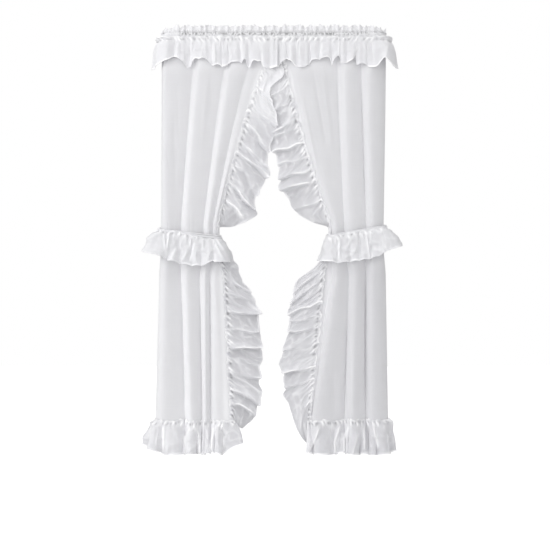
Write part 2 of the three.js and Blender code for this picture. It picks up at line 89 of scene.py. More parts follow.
# Fold lines of each panel, from its outer edge round the corner to the seam of the side ruffle.
# rod: place along the rod line from the middle. Then x, as a distance from the middle, and y at the
# height where the panel comes free, at the tie, a little under it and at the foot.
FOLD_COLUMNS = "rod top_x top_y tie_x tie_y low_x low_y foot_x foot_y"
LEFT_FOLDS = table(
    FOLD_COLUMNS,
    (470, 419, 70, 408, 50, 412, 55, 424, 60),
    (428, 417, 20, 420, 12, 427, 14, 441, 15),
    (384, 394, -8, 396, -15, 398, -18, 408, -20),
    (298, 300, 7, 345, 6, 346, 12, 331, 15),
    (258, 264, -8, 319, -16, 321, -19, 303, -20),
    (178, 182, 7, 262, 6, 277, 11, 268, 12),
    (138, 146, -8, 244, -14, 256, -16, 252, -16),
    (82, 92, 2, 228, 2, 238, 7, 236, 10),
    (48, 63, 0, 217, -9, 214, -13, 206, -15),
    (3, 28, 0, 204, 6, 180, 4, 150, 2),
)
RIGHT_FOLDS = table(
    FOLD_COLUMNS,
    (470, 414, 70, 396, 50, 404, 55, 412, 60),
    (428, 414, 24, 407, 14, 415, 17, 424, 18),
    (364, 358, -11, 366, -15, 368, -16, 372, -8),
    (322, 325, 15, 342, 11, 341, 18, 341, 22),
    (268, 270, -10, 288, -15, 304, -15, 290, -21),
    (232, 236, 12, 260, 5, 277, 6, 262, 22),
    (104, 108, -10, 230, -16, 236, -18, 164, -18),
    (58, 62, -1, 214, 2, 214, 8, 134, 4),
    (3, 37, 0, 204, 8, 176, 0, 122, -1),
)

# Creases laid over the folds. From one end to the other, x as a distance from the middle and z,
# then the half width and how far the cloth stands out there, a trough where that is below zero.
CREASE_COLUMNS = "x1 z1 x2 z2 width rise"
LEFT_CREASES = table(
    CREASE_COLUMNS,
    (171, -118, 167, -165, 7, 3),
    (160, -440, 217, -690, 4, 4),
    (232, -905, 206, -1010, 7, 2),
    (372, -270, 366, -600, 9, -1.5),
    (244, -130, 268, -420, 9, 2),
    (206, -1000, 190, -1380, 12, 2),
    (300, -140, 345, -690, 4, -1.5),
    (182, -140, 262, -690, 4, -1.5),
    (346, -900, 331, -1420, 5, -4),
    (277, -860, 268, -1420, 4, -2.5),
    (271, -900, 264, -1230, 4, 3),
    (238, -880, 236, -1420, 4, -2.5),
)
RIGHT_CREASES = table(
    CREASE_COLUMNS,
    (100, -250, 118, -330, 5, 3),
    (98, -190, 184, -620, 7, 4),
    (140, -100, 200, -440, 8, -3.5),
    (178, -100, 222, -460, 8, 3),
    (236, -870, 150, -1240, 8, 2.5),
    (352, -130, 350, -420, 6, 1.5),
    (322, -100, 342, -720, 6, -6),
    (232, -100, 260, -640, 7, -4),
    (340, -860, 340, -1425, 5, -7),
    (274, -1000, 261, -1425, 5, -6),
    (208, -900, 164, -1200, 4, -4),
    (216, -1220, 226, -1425, 14, -5),
)

# Each side ruffle, down its seam. reach: how far the free edge stands inwards of the seam, drop: how
# far it hangs below it, back: how far it stands back of it, depth: depth of its creases.
SIDE_COLUMNS = "z reach drop back depth"
LEFT_SIDE = table(
    SIDE_COLUMNS,
    (-24, 44, 6, -4, 3),
    (-95, 58, 12, -5, 5),
    (-142, 72, 12, -7, 8),
    (-172, 47, 16, -7, 8),
    (-225, 64, 16, -6, 10),
    (-282, 92, 20, -4, 13),
    (-380, 106, 30, 0, 15),
    (-477, 119, 40, 6, 15),
    (-570, 101, 54, 10, 14),
    (-632, 98, 44, 14, 11),
    (-664, 44, 40, 20, 5),
    (-698, 0, 8, 30, 1.5),
    (-735, -4, 0, 32, 1),
    (-785, 8, 0, 26, 1.5),
    (-815, 34, 4, 18, 4),
    (-852, 54, 6, 12, 8),
    (-930, 78, 10, 8, 12),
    (-992, 118, 8, 6, 14),
    (-1122, 116, 12, 6, 14),
    (-1241, 116, 8, 6, 14),
    (-1311, 106, 15, 8, 13),
    (-1370, 88, 20, 12, 10),
    (-1400, 58, 34, 13, 6),
    (-1414, 34, 44, 14, 4),
)
RIGHT_SIDE = table(
    SIDE_COLUMNS,
    (-24, 30, 6, 4, 2),
    (-110, 48, 20, 3, 4),
    (-184, 62, 22, 4, 6),
    (-273, 68, 26, 7, 8),
    (-376, 116, 30, 11, 10),
    (-432, 103, 32, 8, 12),
    (-488, 112, 38, 8, 12),
    (-562, 116, 28, 10, 12),
    (-622, 90, 26, 14, 10),
    (-664, 44, 24, 20, 5),
    (-698, 0, 8, 30, 1.5),
    (-735, -4, 0, 32, 1),
    (-800, 4, 0, 28, 1.5),
    (-842, 40, 14, 18, 6),
    (-880, 92, 34, 14, 10),
    (-935, 108, 36, 10, 12),
    (-1005, 110, 34, 8, 14),
    (-1120, 113, 22, 6, 14),
    (-1232, 113, 24, 6, 14),
    (-1296, 96, 28, 8, 12),
    (-1344, 74, 38, 12, 9),
    (-1372, 54, 62, 14, 6),
    (-1398, 16, 98, 16, 4),
    (-1414, -16, 116, 18, 3),
)

# Creases across each side ruffle. at: depth of the crease down the seam, rise: how strong it is, slant:
# how much lower it meets the free edge, over the edge's own drop.
CREASE_ACROSS = "at rise slant"
LEFT_SIDE_CREASES = table(
    CREASE_ACROSS,
    (70, 0.6, 20),
    (118, 0.5, 30),
    (186, 0.8, 40),
    (254, 1.1, 52),
    (325, 1.2, 66),
    (395, 0.8, 62),
    (434, 1.2, 52),
    (482, 1.0, 48),
    (547, 1.1, 40),
    (612, 1.1, 30),
    (905, 0.5, 30),
    (955, 0.5, 20),
    (1022, 1.3, -6),
    (1090, 0.5, 0),
    (1165, 1.3, -24),
    (1250, 0.6, 10),
    (1312, 1.1, 34),
    (1366, 0.8, 26),
)
RIGHT_SIDE_CREASES = table(
    CREASE_ACROSS,
    (90, 0.5, 20),
    (187, 0.6, 14),
    (247, 0.8, 14),
    (313, 1.0, 20),
    (345, 0.6, 8),
    (400, 1.1, 4),
    (452, 0.7, -4),
    (502, 1.3, -12),
    (545, 1.1, -6),
    (612, 0.7, 10),
    (872, 0.8, 46),
    (906, 0.9, 48),
    (942, 0.8, 36),
    (988, 0.9, 8),
    (1040, 0.5, -10),
    (1080, 1.1, -8),
    (1140, 0.5, 0),
    (1228, 1.2, 4),
    (1275, 0.9, 0),
    (1360, 1.0, 40),
)

# Height of the top ruffle's hem, along the rod line from the middle.
TOP_HEM_COLUMNS = "at z"
LEFT_TOP_HEM = table(
    TOP_HEM_COLUMNS,
    (0, -120),
    (20, -121),
    (36, -118),
    (46, -99),
    (62, -98),
    (79, -99),
    (84, -116),
    (93, -119),
    (101, -112),
    (106, -91),
    (118, -102),
    (135, -98),
    (167, -106),
    (194, -115),
    (208, -108),
    (222, -114),
    (243, -100),
    (254, -90),
    (274, -87),
    (294, -90),
    (302, -106),
    (316, -121),
    (328, -119),
    (336, -98),
    (348, -87),
    (372, -82),
    (384, -88),
    (395, -100),
    (404, -110),
    (414, -116),
    (428, -117),
    (446, -111),
    (471, -98),
)
RIGHT_TOP_HEM = table(
    TOP_HEM_COLUMNS,
    (0, -118),
    (20, -114),
    (36, -94),
    (61, -93),
    (75, -110),
    (92, -115),
    (128, -108),
    (138, -97),
    (167, -88),
    (206, -92),
    (214, -110),
    (223, -90),
    (241, -80),
    (248, -97),
    (264, -100),
    (281, -94),
    (293, -82),
    (299, -72),
    (305, -99),
    (322, -105),
    (343, -109),
    (375, -111),
    (383, -95),
    (391, -85),
    (399, -97),
    (407, -110),
    (427, -114),
    (446, -108),
    (471, -96),
)

# Loop of each tie band: its corners and their rounding, seen from above, from the outer corner at the
# back over the front to the inner side and back. x: distance from the middle, z: the band's mid height,
# flare: how far the ruffle's edge stands out, drop: how far it hangs below, gather: how far below the
# mid height it is sewn on, frill: how far it stands over its gathers, roll: thickness of the band.
TIE_COLUMNS = "x y round z flare drop gather frill roll"
LEFT_TIE = table(
    TIE_COLUMNS,
    (424, 64, 8, -714, 5, 46, 4, 9, 1.5),
    (427, 8, 4, -718, 56, 58, 4, 10, 1.5),
    (427, BAND_FRONT, 18, -721, 60, 84, 4, 11, 1.5),
    (404, BAND_FRONT, 4, -724, 50, 100, 4, 10, 1.5),
    (380, BAND_FRONT, 4, -727, 38, 105, 4, 10, 1.5),
    (340, BAND_FRONT, 4, -731, 24, 112, 4, 8, 1.5),
    (300, BAND_FRONT, 4, -737, 22, 114, 7, 4, 4),
    (250, BAND_FRONT, 4, -743, 22, 106, 9, 2, 6),
    (226, BAND_FRONT, 4, -745, 26, 84, 9, 2, 6),
    (198, BAND_FRONT, 14, -748, 40, 92, 9, 3, 5),
    (198, 34, 9, -747, 40, 92, 6, 4, 2),
    (198, 58, 13, -744, 6, 60, 4, 6, 1.5),
)
RIGHT_TIE = table(
    TIE_COLUMNS,
    (414, 64, 8, -704, 5, 46, 4, 6, 1.5),
    (418, BAND_FRONT, 26, -709, 57, 75, 5, 6, 1.5),
    (380, BAND_FRONT, 4, -714, 34, 104, 5, 7, 1.5),
    (340, BAND_FRONT, 4, -721, 24, 106, 5, 8, 1.5),
    (300, BAND_FRONT, 4, -728, 22, 105, 5, 9, 1.5),
    (250, BAND_FRONT, 4, -736, 22, 104, 5, 9, 1.5),
    (198, BAND_FRONT, 14, -744, 25, 92, 5, 6, 1.5),
    (198, 34, 9, -743, 26, 90, 4, 6, 1.5),
    (198, 58, 13, -740, 6, 60, 4, 6, 1.5),
)

# The valleys between the lobes of the other ruffles. top: along the rod line from the middle, foot: by
# fold line from the outer edge, tie: round the loop from its outer corner at the back.
LEFT_VALLEYS = SimpleNamespace(
    top=np.array([-50, 20, 45, 96, 118, 171, 193, 228, 312, 372, 424, 452, 500.0]),
    foot=np.array([-0.8, 0.55, 1.3, 2.0, 3.05, 4.5, 5.2, 5.85, 7.05, 7.7, 8.3, 10.0]),
    tie=np.array([-30, 50, 116, 160, 205, 240, 285, 330, 372, 430, 490, 550, 640.0]),
)
RIGHT_VALLEYS = SimpleNamespace(
    top=np.array([-40, 20, 48, 82, 134, 172, 214, 245, 268, 300, 345, 388, 425, 455, 500.0]),
    foot=np.array([-0.8, 0.6, 1.15, 1.9, 2.6, 3.5, 4.53, 4.95, 5.37, 6.4, 8.7]),
    tie=np.array([-30, 50, 100, 143, 181, 214, 262, 310, 368, 425, 485, 545, 640.0]),
)

# Creases laid over the fronts of the other ruffles. From one end to the other, x and z, then how wide the
# left and the right side of the crease are, and how far the cloth stands out there.
LAID_COLUMNS = "x1 z1 x2 z2 left right rise"
LEFT_LAID = SimpleNamespace(
    top=table(
        LAID_COLUMNS,
        (-313, -50, -305, -78, 4, 4, -4),
        (-262, -36, -270, -92, 4, 14, 4),
        (-221, -30, -217, -102, 24, 4, 6),
        (-169, -34, -166, -98, 4, 4, -4),
        (-121, -22, -114, -90, 4, 16, 5),
        (-92, -38, -92, -84, 5, 4, -4),
        (-52, -30, -40, -100, 4, 12, 5),
    ),
    foot=table(
        LAID_COLUMNS,
        (-455, -1452, -466, -1500, 6, 8, 6),
        (-429, -1450, -437, -1524, 7, 7, -5),
        (-407, -1442, -407, -1534, 4, 28, 9),
        (-340, -1486, -338, -1544, 8, 3, -7),
        (-310, -1440, -330, -1490, 4, 22, 10),
        (-330, -1488, -330, -1545, 4, 22, 10),
        (-290, -1442, -273, -1483, 18, 4, 9),
        (-273, -1483, -273, -1545, 18, 4, 9),
        (-310, -1538, -276, -1496, 4, 6, 5),
        (-257, -1450, -253, -1545, 10, 10, -9),
        (-246, -1455, -244, -1490, 3, 3, 4),
        (-224, -1446, -233, -1540, 5, 16, 10),
        (-202, -1444, -180, -1480, 3, 3, -5),
        (-192, -1440, -168, -1478, 3, 4, 5),
        (-188, -1490, -183, -1522, 8, 8, 4),
        (-150, -1430, -124, -1486, 8, 5, -4),
    ),
    tie=table(
        LAID_COLUMNS,
        (-427, -742, -442, -800, 8, 8, -4),
        (-387, -742, -395, -818, 24, 5, 8),
        (-356, -786, -376, -826, 5, 12, 7),
        (-307, -757, -314, -793, 10, 8, 8),
        (-314, -793, -340, -836, 10, 8, 8),
        (-289, -764, -307, -838, 4, 14, 7),
        (-270, -804, -248, -808, 4, 4, 4),
        (-219, -760, -186, -826, 5, 5, 8),
        (-208, -757, -153, -832, 5, 5, 8),
    ),
)
RIGHT_LAID = SimpleNamespace(
    top=table(
        LAID_COLUMNS,
        (60, -36, 64, -92, 4, 10, 5),
        (96, -30, 95, -76, 20, 4, 5),
        (133, -34, 133, -92, 4, 4, -5),
        (178, -28, 172, -88, 4, 14, 5),
        (241, -26, 240, -94, 4, 20, 6),
        (309, -44, 287, -94, 14, 4, 5),
        (362, -40, 366, -96, 4, 4, -4),
        (396, -36, 388, -84, 10, 4, 4),
    ),
    foot=table(
        LAID_COLUMNS,
        (169, -1440, 132, -1532, 26, 4, 11),
        (209, -1444, 207, -1540, 14, 4, -7),
        (242, -1446, 226, -1494, 5, 5, 9),
        (226, -1492, 226, -1545, 5, 5, 9),
        (248, -1462, 242, -1540, 4, 4, -8),
        (275, -1444, 259, -1494, 4, 22, 9),
        (259, -1492, 259, -1545, 4, 22, 9),
        (312, -1466, 288, -1545, 14, 4, 6),
        (334, -1454, 334, -1530, 8, 4, 8),
        (349, -1450, 349, -1540, 8, 8, -7),
        (367, -1444, 383, -1518, 4, 14, 8),
        (418, -1460, 422, -1540, 8, 4, -7),
    ),
    tie=table(
        LAID_COLUMNS,
        (240, -748, 236, -834, 26, 5, 8),
        (260, -790, 300, -800, 4, 10, 6),
        (284, -752, 268, -786, 5, 5, 5),
        (258, -822, 290, -806, 4, 5, 4),
        (314, -738, 318, -818, 5, 8, -7),
        (340, -742, 351, -822, 7, 4, 9),
        (356, -762, 392, -770, 4, 6, 5),
        (362, -790, 406, -801, 4, 10, 6),
        (402, -772, 417, -800, 4, 4, 6),
    ),
)

# What differs between the two curtains.
# hand: -1 left, +1 right. seed: start of its random forms. draw: the power by which its folds swing out to
# the tie on the way down. start: where the gathers of its heading start. across: creases of its side ruffle.
# top_out: how much further the top ruffle's hem stands out at the outer corner. foot_out, foot_spring and
# foot_rise: how far the bottom ruffle stands out there at its hem, and at once, and how far its hem is
# lifted. foot_in and foot_lift: how far that hem reaches inwards at its inner end, and is lifted there.
# The rest is how much more light passes: foot_thin through the bottom ruffle, end_thin through its inner end
# besides, over_thin and under_thin through the side ruffle over and under the tie, below the height single,
# from where it hangs alone, and panel_thin through the panel under the tie.
CURTAINS = (
    SimpleNamespace(
        name="left", hand=-1, seed=11, draw=0.86, start=0,
        folds=LEFT_FOLDS, creases=LEFT_CREASES, side=LEFT_SIDE, across=LEFT_SIDE_CREASES,
        top_hem=LEFT_TOP_HEM, tie=LEFT_TIE, valleys=LEFT_VALLEYS, laid=LEFT_LAID,
        top_out=8, foot_out=25, foot_spring=15, foot_rise=25, foot_in=42, foot_lift=36,
        foot_thin=0.45, end_thin=0.8, single=-220, over_thin=1.1, under_thin=1.33, panel_thin=-0.2,
    ),
    SimpleNamespace(
        name="right", hand=1, seed=61, draw=1.25, start=17,
        folds=RIGHT_FOLDS, creases=RIGHT_CREASES, side=RIGHT_SIDE, across=RIGHT_SIDE_CREASES,
        top_hem=RIGHT_TOP_HEM, tie=RIGHT_TIE, valleys=RIGHT_VALLEYS, laid=RIGHT_LAID,
        top_out=15, foot_out=2, foot_spring=12, foot_rise=2, foot_in=-2, foot_lift=0,
        foot_thin=0.88, end_thin=-0.8, single=-110, over_thin=1.1, under_thin=1.08, panel_thin=0.35,
    ),
)

# Section of the top ruffle, from the top of its frill over the gather line to the hem. down: distance from
# the gather line along the cloth, up: height, out: how far it stands off the pocket.
TOP_SECTION = table(
    "down up out",
    (-FRILL, -3, 3),
    (0, -13, 0.1),
    (34, -45, 3.5),
    (71, -80, 5),
    (102, -110, 6),
)

# Lengths of the other ruffles from the gather line to the hem
SIDE_LENGTH = 116
FOOT_LENGTH = 118
TIE_LENGTH = 104

# Grids: points along each piece, rows of the panels, steps of the heading's section and of a ruffle from its
# gather line to its hem, steps round a tie band and points on each corner of its loop
HEADING_POINTS = 320
HEADING_STEPS = 34
PANEL_POINTS = 300
PANEL_ROWS = 110
TOP_POINTS = 400
SIDE_POINTS = 720
FOOT_POINTS = 400
TIE_POINTS = 470
RUFFLE_STEPS = 22
BAND_STEPS = 24
CORNER_POINTS = 9

# Numbers that the ruffles and the tie bands add to a curtain's seed
TOP_SEED = 10
SIDE_SEED = 20
FOOT_SEED = 30
BAND_SEED = 40
TIE_SEED = 50


class CurtainSettings(bpy.types.PropertyGroup):
    """Sizes and colours of the cloth."""

    cloth: bpy.props.FloatProperty(
        name="Cloth", description="Thickness of the cloth", default=0.5 * MM, unit="LENGTH", precision=5
    )
    hem: bpy.props.FloatProperty(
        name="Hem", description="Thickness of a rolled hem", default=2.0 * MM, unit="LENGTH", precision=5
    )
    hem_width: bpy.props.FloatProperty(
        name="Hem width", description="Width of a rolled hem", default=6 * MM, unit="LENGTH", precision=5
    )
    thread: bpy.props.FloatProperty(
        name="Thread", description="Distance from thread to thread",
        default=0.6 * MM, unit="LENGTH", precision=5,
    )
    panel_colour: bpy.props.FloatVectorProperty(
        name="Panel colour", description="White of the panels", subtype="COLOR", default=(0.852, 0.851, 0.866)
    )
    ruffle_colour: bpy.props.FloatVectorProperty(
        name="Ruffle colour", description="White of the ruffles", subtype="COLOR",
        default=(0.88, 0.879, 0.896),
    )
    tie_colour: bpy.props.FloatVectorProperty(
        name="Tie colour", description="White of the ties", subtype="COLOR", default=(0.858, 0.858, 0.873)
    )
    panel_through: bpy.props.FloatProperty(
        name="Light through panels", description="Share of the light that passes a panel seen straight on",
        default=0.45, min=0, max=1, subtype="FACTOR",
    )
    ruffle_through: bpy.props.FloatProperty(
        name="Light through ruffles", description="Share of the light that passes a ruffle seen straight on",
        default=0.4, min=0, max=1, subtype="FACTOR",
    )
    tie_through: bpy.props.FloatProperty(
        name="Light through ties", description="Share of the light that passes a tie seen straight on",
        default=0.5, min=0, max=1, subtype="FACTOR",
    )
    aslant: bpy.props.FloatProperty(
        name="Aslant", description="How much of these shares is left where the cloth is seen aslant",
        default=0.12, min=0, max=1, subtype="FACTOR",
    )
    thin_more: bpy.props.FloatProperty(
        name="Thin parts", description="Share of the light that passes the thin parts besides",
        default=0.29, min=0, max=1, subtype="FACTOR",
    )
    # Painted shade: the tone to which the colour is darkened in the pits and in the lines between a band's
    # turns
    painted_pit_shade: bpy.props.FloatProperty(
        name="Pits", description="Tone of the pits between tight gathers, as a share of the cloth's",
        default=0.45, min=0, max=1, subtype="FACTOR",
    )


class StageSettings(bpy.types.PropertyGroup):
    """Sizes of the stage, its lights and its camera."""

    floor: bpy.props.FloatProperty(
        name="Floor", description="Height of the floor under the rod", default=-2.05, unit="LENGTH"
    )
    distance: bpy.props.FloatProperty(
        name="Camera distance", description="From the camera to the rod", default=3.7, unit="LENGTH"
    )
    view_width: bpy.props.FloatProperty(
        name="View width", description="Width of the view at the rod", default=2.0405, unit="LENGTH"
    )
    view_x: bpy.props.FloatProperty(
        name="View middle", description="Middle of the view across", default=0.0037, unit="LENGTH"
    )
    view_z: bpy.props.FloatProperty(
        name="View height", description="Middle of the view in height", default=-0.885, unit="LENGTH"
    )
    key: bpy.props.FloatProperty(
        name="Key light", description="Power of the soft light from the left", default=72.0, unit="POWER"
    )
    fill: bpy.props.FloatProperty(
        name="Fill light", description="Power of the weak light from the front", default=33.0, unit="POWER"
    )
    room: bpy.props.FloatProperty(
        name="Room light", description="Strength of the even light from the front", default=0.9
    )
    behind: bpy.props.FloatProperty(
        name="Light from behind", description="Strength of the even light from behind", default=0.38
    )


# Curves and random forms


def mix(a, b, t):
    """From a to b by the share t."""
    return a + (b - a) * t


def ease(t):
    """From 0 to 1 with level ends, for t from 0 to 1."""
    t = np.clip(t, 0, 1)
    return t * t * (3 - 2 * t)


def bell(aside, half):
    """1 in the middle, falling off to both sides over a half width."""
    return np.exp(-((aside / half) ** 2))


def unit(vectors, axis):
    """Vectors of length 1 that point the same ways."""
    return vectors / np.linalg.norm(vectors, axis=axis, keepdims=True)


def run_along(x, y):
    """Distances along a line of points from its first one."""
    return np.concatenate([[0], np.cumsum(np.hypot(np.diff(x), np.diff(y)))])


def spline(at, knots, values):
    """A smooth curve through values at rising knots: between two knots a cubic whose end slopes are those
    of the values' neighbours. Values may have more axes after the first."""
    knots = np.asarray(knots, float)
    slopes = np.gradient(values, knots, axis=0)
    k = np.clip(np.searchsorted(knots, at, side="right") - 1, 0, len(knots) - 2)
    more = (1,) * (values.ndim - 1)
    width = (knots[k + 1] - knots[k]).reshape(k.shape + more)
    f = np.clip((at - knots[k]).reshape(k.shape + more) / width, 0, 1)
    start = values[k] * (2 * f**3 - 3 * f**2 + 1) + slopes[k] * width * (f**3 - 2 * f**2 + f)
    return start + values[k + 1] * (3 * f**2 - 2 * f**3) + slopes[k + 1] * width * (f**3 - f**2)


# Uneven waves: the main sine's share, how far and how slowly its phase wanders, how much quicker the second
# sine is, and where the wandering and the second sine start
MAIN_SHARE = 0.68
PHASE_WANDER = 0.9
WANDER_TURN = 0.382
SECOND_TURN = 1.618
WANDER_START = 1.3
SECOND_START = 0.4


def wave(length, pitch):
    """An uneven wave of about the given pitch, between -1 and 1: a sine whose phase wanders slowly, with a
    weaker sine of another pitch."""
    turn = 2 * np.pi * length / pitch
    main = np.sin(turn + PHASE_WANDER * np.sin(WANDER_TURN * turn + WANDER_START))
    return mix(np.sin(SECOND_TURN * turn + SECOND_START), main, MAIN_SHARE)


# Lattice of the random heights, how far other dents bend that of the creases, the scale, the turn and the
# seed of those, and the power that sharpens the crests
LATTICE = 97
LATTICE_BEND = 0.7
BEND_SCALE = 0.45
BEND_TURN = 0.3
BEND_SEED = 500
CREST_POWER = 0.85


def dents(u, v, seed):
    """Soft random heights between -1 and 1: one for each corner of a lattice of unit squares, eased from
    corner to corner."""
    heights = np.random.default_rng(seed).uniform(-1, 1, (LATTICE, LATTICE))
    u, v = np.broadcast_arrays(u, v)
    i, j = np.floor(u).astype(int), np.floor(v).astype(int)
    f, g = ease(u - i), ease(v - j)
    i, j, right, below = i % LATTICE, j % LATTICE, (i + 1) % LATTICE, (j + 1) % LATTICE
    upper = mix(heights[i, j], heights[right, j], f)
    lower = mix(heights[i, below], heights[right, below], f)
    return mix(upper, lower, g)


def creased(u, v, seed):
    """Random sharp crests over round hollows, between -1 and 1: the size of the dents, turned over, on a
    lattice that other dents bend."""
    bend = dents(BEND_SCALE * u + BEND_TURN * v, BEND_SCALE * v - BEND_TURN * u, seed + BEND_SEED)
    return 1 - 2 * np.abs(dents(u + LATTICE_BEND * bend, v, seed)) ** CREST_POWER


class Form(NamedTuple):
    """A kind of random dents or creases: the size of one across and down, the number that it adds to a seed,
    and the height that they are multiplied by and the level that is added to them."""

    across: float
    down: float
    seed: int
    height: float = 1.0
    level: float = 0.0

    def dents(self, seed, u, v=0.0):
        """Soft dents at places u across and v down."""
        return self.level + self.height * dents(u / self.across, v / self.down, seed + self.seed)

    def creases(self, seed, u, v):
        """Sharp crests over round hollows at places u across and v down."""
        return self.level + self.height * creased(u / self.across, v / self.down, seed + self.seed)


# Power by which a lobe deepens from the gather line to the hem
LOBE_GROWTH = 0.8


def lobes(at, valleys):
    """Where a place lies in its lobe, from 0 at one valley to 1 at the next, and the lobe's width."""
    k = np.clip(np.searchsorted(valleys, at, side="right") - 1, 0, len(valleys) - 2)
    width = valleys[k + 1] - valleys[k]
    return np.clip((at - valleys[k]) / width, 0, 1), width


def lobe_size(width, full, least):
    """Share of the full depth that a lobe has: the root of its width as a share of a full lobe's."""
    return np.sqrt(np.clip(width / full, least, 1))


def bulge(place, share):
    """How far a lobe stands out, from 0 to 1: a half sine with sharp valleys at the gather line, a full
    cosine with soft ones at the hem."""
    sharp = np.sin(np.pi * place)
    soft = 0.5 - 0.5 * np.cos(2 * np.pi * place)
    return mix(sharp, soft, share)


def lobe_lean(place):
    """How far a lobe's sides lean over its valleys: one turn of a sine."""
    return np.sin(2 * np.pi * place)


def crease(x, z, ends, fade, past):
    """A straight crease between two ends, at points seen from the front: how far to its right they are, and
    how much of it is left there. It fades to each end over a share of its length, and a share of that fade
    lies past the end."""
    x1, z1, x2, z2 = ends
    long = np.hypot(x2 - x1, z2 - z1)
    along = ((x - x1) * (x2 - x1) + (z - z1) * (z2 - z1)) / long
    aside = ((x - x1) * (z1 - z2) + (z - z1) * (x2 - x1)) / long
    left = ease(along / (fade * long) + past) * ease((long - along) / (fade * long) + past)
    return aside, left


# Rod line


def rod_line(hand, along):
    """Points of the rod line at distances from the middle, and the way outwards from them: a straight, a
    quarter circle and a straight return."""
    angle = np.clip((along - ROD_STRAIGHT) / ROD_ARC, 0, 1) * np.pi / 2
    x = np.minimum(along, ROD_STRAIGHT) + ROD_BEND * np.sin(angle)
    y = ROD_BEND * (1 - np.cos(angle)) + np.maximum(along - ROD_STRAIGHT - ROD_ARC, 0)
    return hand * x, y, hand * np.sin(angle), -np.cos(angle)


def rod_places(count):
    """Evenly spaced places along half of the rod line."""
    return np.linspace(MIDDLE_GAP / 2, ROD_LENGTH, count)


# The bend of the rod tells from this far before it, and in full after this share of it
BEND_EARLY = 10
BEND_FULL = 0.6


def bend_share(along):
    """0 along the rod's front, 1 from past the middle of its bend to its end."""
    return ease((along - ROD_STRAIGHT + BEND_EARLY) / (BEND_FULL * ROD_ARC))


# Sheets


def normals_of(grid):
    """Unit normals of a grid of points, across the columns and then down the rows."""
    return unit(np.cross(np.gradient(grid, axis=1), np.gradient(grid, axis=0)), 2)


def quads(a, b, c, d):
    """Faces from four like grids of corner numbers."""
    return np.stack([a, b, c, d], axis=-1).reshape(-1, 4)


def grid_of(*axes):
    """A grid of points from arrays of their coordinates that go together."""
    return np.stack(np.broadcast_arrays(*axes), axis=-1)


def mesh_object(name, points, faces, uv, masks):
    """An object of the given points in millimetres, with a UV map in metres of cloth and named masks."""
    mesh = bpy.data.meshes.new(name)
    mesh.from_pydata((points * MM).tolist(), [], faces.tolist())
    mesh.uv_layers.new(name="cloth").data.foreach_set("uv", (uv * MM)[faces.ravel()].ravel())
    for mask, values in masks.items():
        mesh.attributes.new(mask, "FLOAT", "POINT").data.foreach_set("value", values.astype(np.float32))
    mesh.polygons.foreach_set("use_smooth", np.ones(len(faces), bool))
    mesh.update()
    piece = bpy.data.objects.new(name, mesh)
    bpy.context.scene.collection.objects.link(piece)
    return piece


def sheet_object(name, grid, thickness, uv, **masks):
    """A closed thin sheet: the grid moved half its thickness to both sides along its normals, with a rim.
    Each mask is a value for every point of the grid. hem: how much its colour is lightened, as folded cloth
    and as painted highlight and painted light, pit: how much painted shade of a dark hollow it has, thin: how
    much more light passes it."""
    rows, columns = grid.shape[:2]
    offset = normals_of(grid) * (0.5 * np.broadcast_to(thickness, (rows, columns)))[..., None]
    points = np.concatenate([(grid + offset).reshape(-1, 3), (grid - offset).reshape(-1, 3)])
    near = np.arange(rows * columns).reshape(rows, columns)
    far = near + rows * columns
    faces = [
        quads(near[:-1, :-1], near[:-1, 1:], near[1:, 1:], near[1:, :-1]),
        quads(far[:-1, :-1], far[1:, :-1], far[1:, 1:], far[:-1, 1:]),
        quads(near[0, :-1], far[0, :-1], far[0, 1:], near[0, 1:]),
        quads(near[-1, 1:], far[-1, 1:], far[-1, :-1], near[-1, :-1]),
        quads(near[1:, 0], far[1:, 0], far[:-1, 0], near[:-1, 0]),
        quads(near[:-1, -1], far[:-1, -1], far[1:, -1], near[1:, -1]),
    ]
    both = np.concatenate([uv.reshape(-1, 2)] * 2)
    for mask, values in masks.items():
        masks[mask] = np.tile(np.broadcast_to(values, (rows, columns)).ravel(), 2)
    return mesh_object(name, points, np.concatenate(faces), both, masks)


# Panels

# Folds: share of the power laws in them, and the powers on the side that faces the key light and on the other
PINCH = 0.75
LIT_POWER = 2.3
SHADED_POWER = 1.8

# Share of its length over which a panel's crease fades to each end
PANEL_FADE = 0.3

# Dents and creases between the seams, how far from the seams they fade, and how much of them the tie presses
# flat
PANEL_DENTS = Form(across=34, down=150, seed=0, height=1.0)
PANEL_CREASES = Form(across=40, down=90, seed=1, height=0.7)
SEAM_FADE = 60
TIE_PRESS = 0.8

# Crimps in the drawn cloth at the tie, across in folds, and how far over and under it they reach
TIE_CRIMPS = Form(across=0.3125, down=60, seed=2, height=0.9, level=0.9)
TIE_REACH = 75

# Painted light on a panel's colour, which lightens the shadows of the cloth in front: its strength, place and
# width under the hem of the top ruffle, under the hem of the tie's ruffle, and beside the frill of the side
# ruffle
TOP_PAINTED_LIGHT = 0.25
TOP_GLOW_END = -150
TOP_GLOW_FADE = 50
TIE_PAINTED_LIGHT = 0.25
TIE_GLOW_DROP = 110
TIE_GLOW_HALF = 20
SIDE_PAINTED_LIGHT = 0.5
SIDE_GLOW_GAP = 4
SIDE_GLOW_HALF = 7

# Height over which a panel takes on its own thinness under the tie, and the step, in folds, that gives the
# way of the cloth at its inner edge
PANEL_THIN_FADE = 200
EDGE_STEP = 0.2


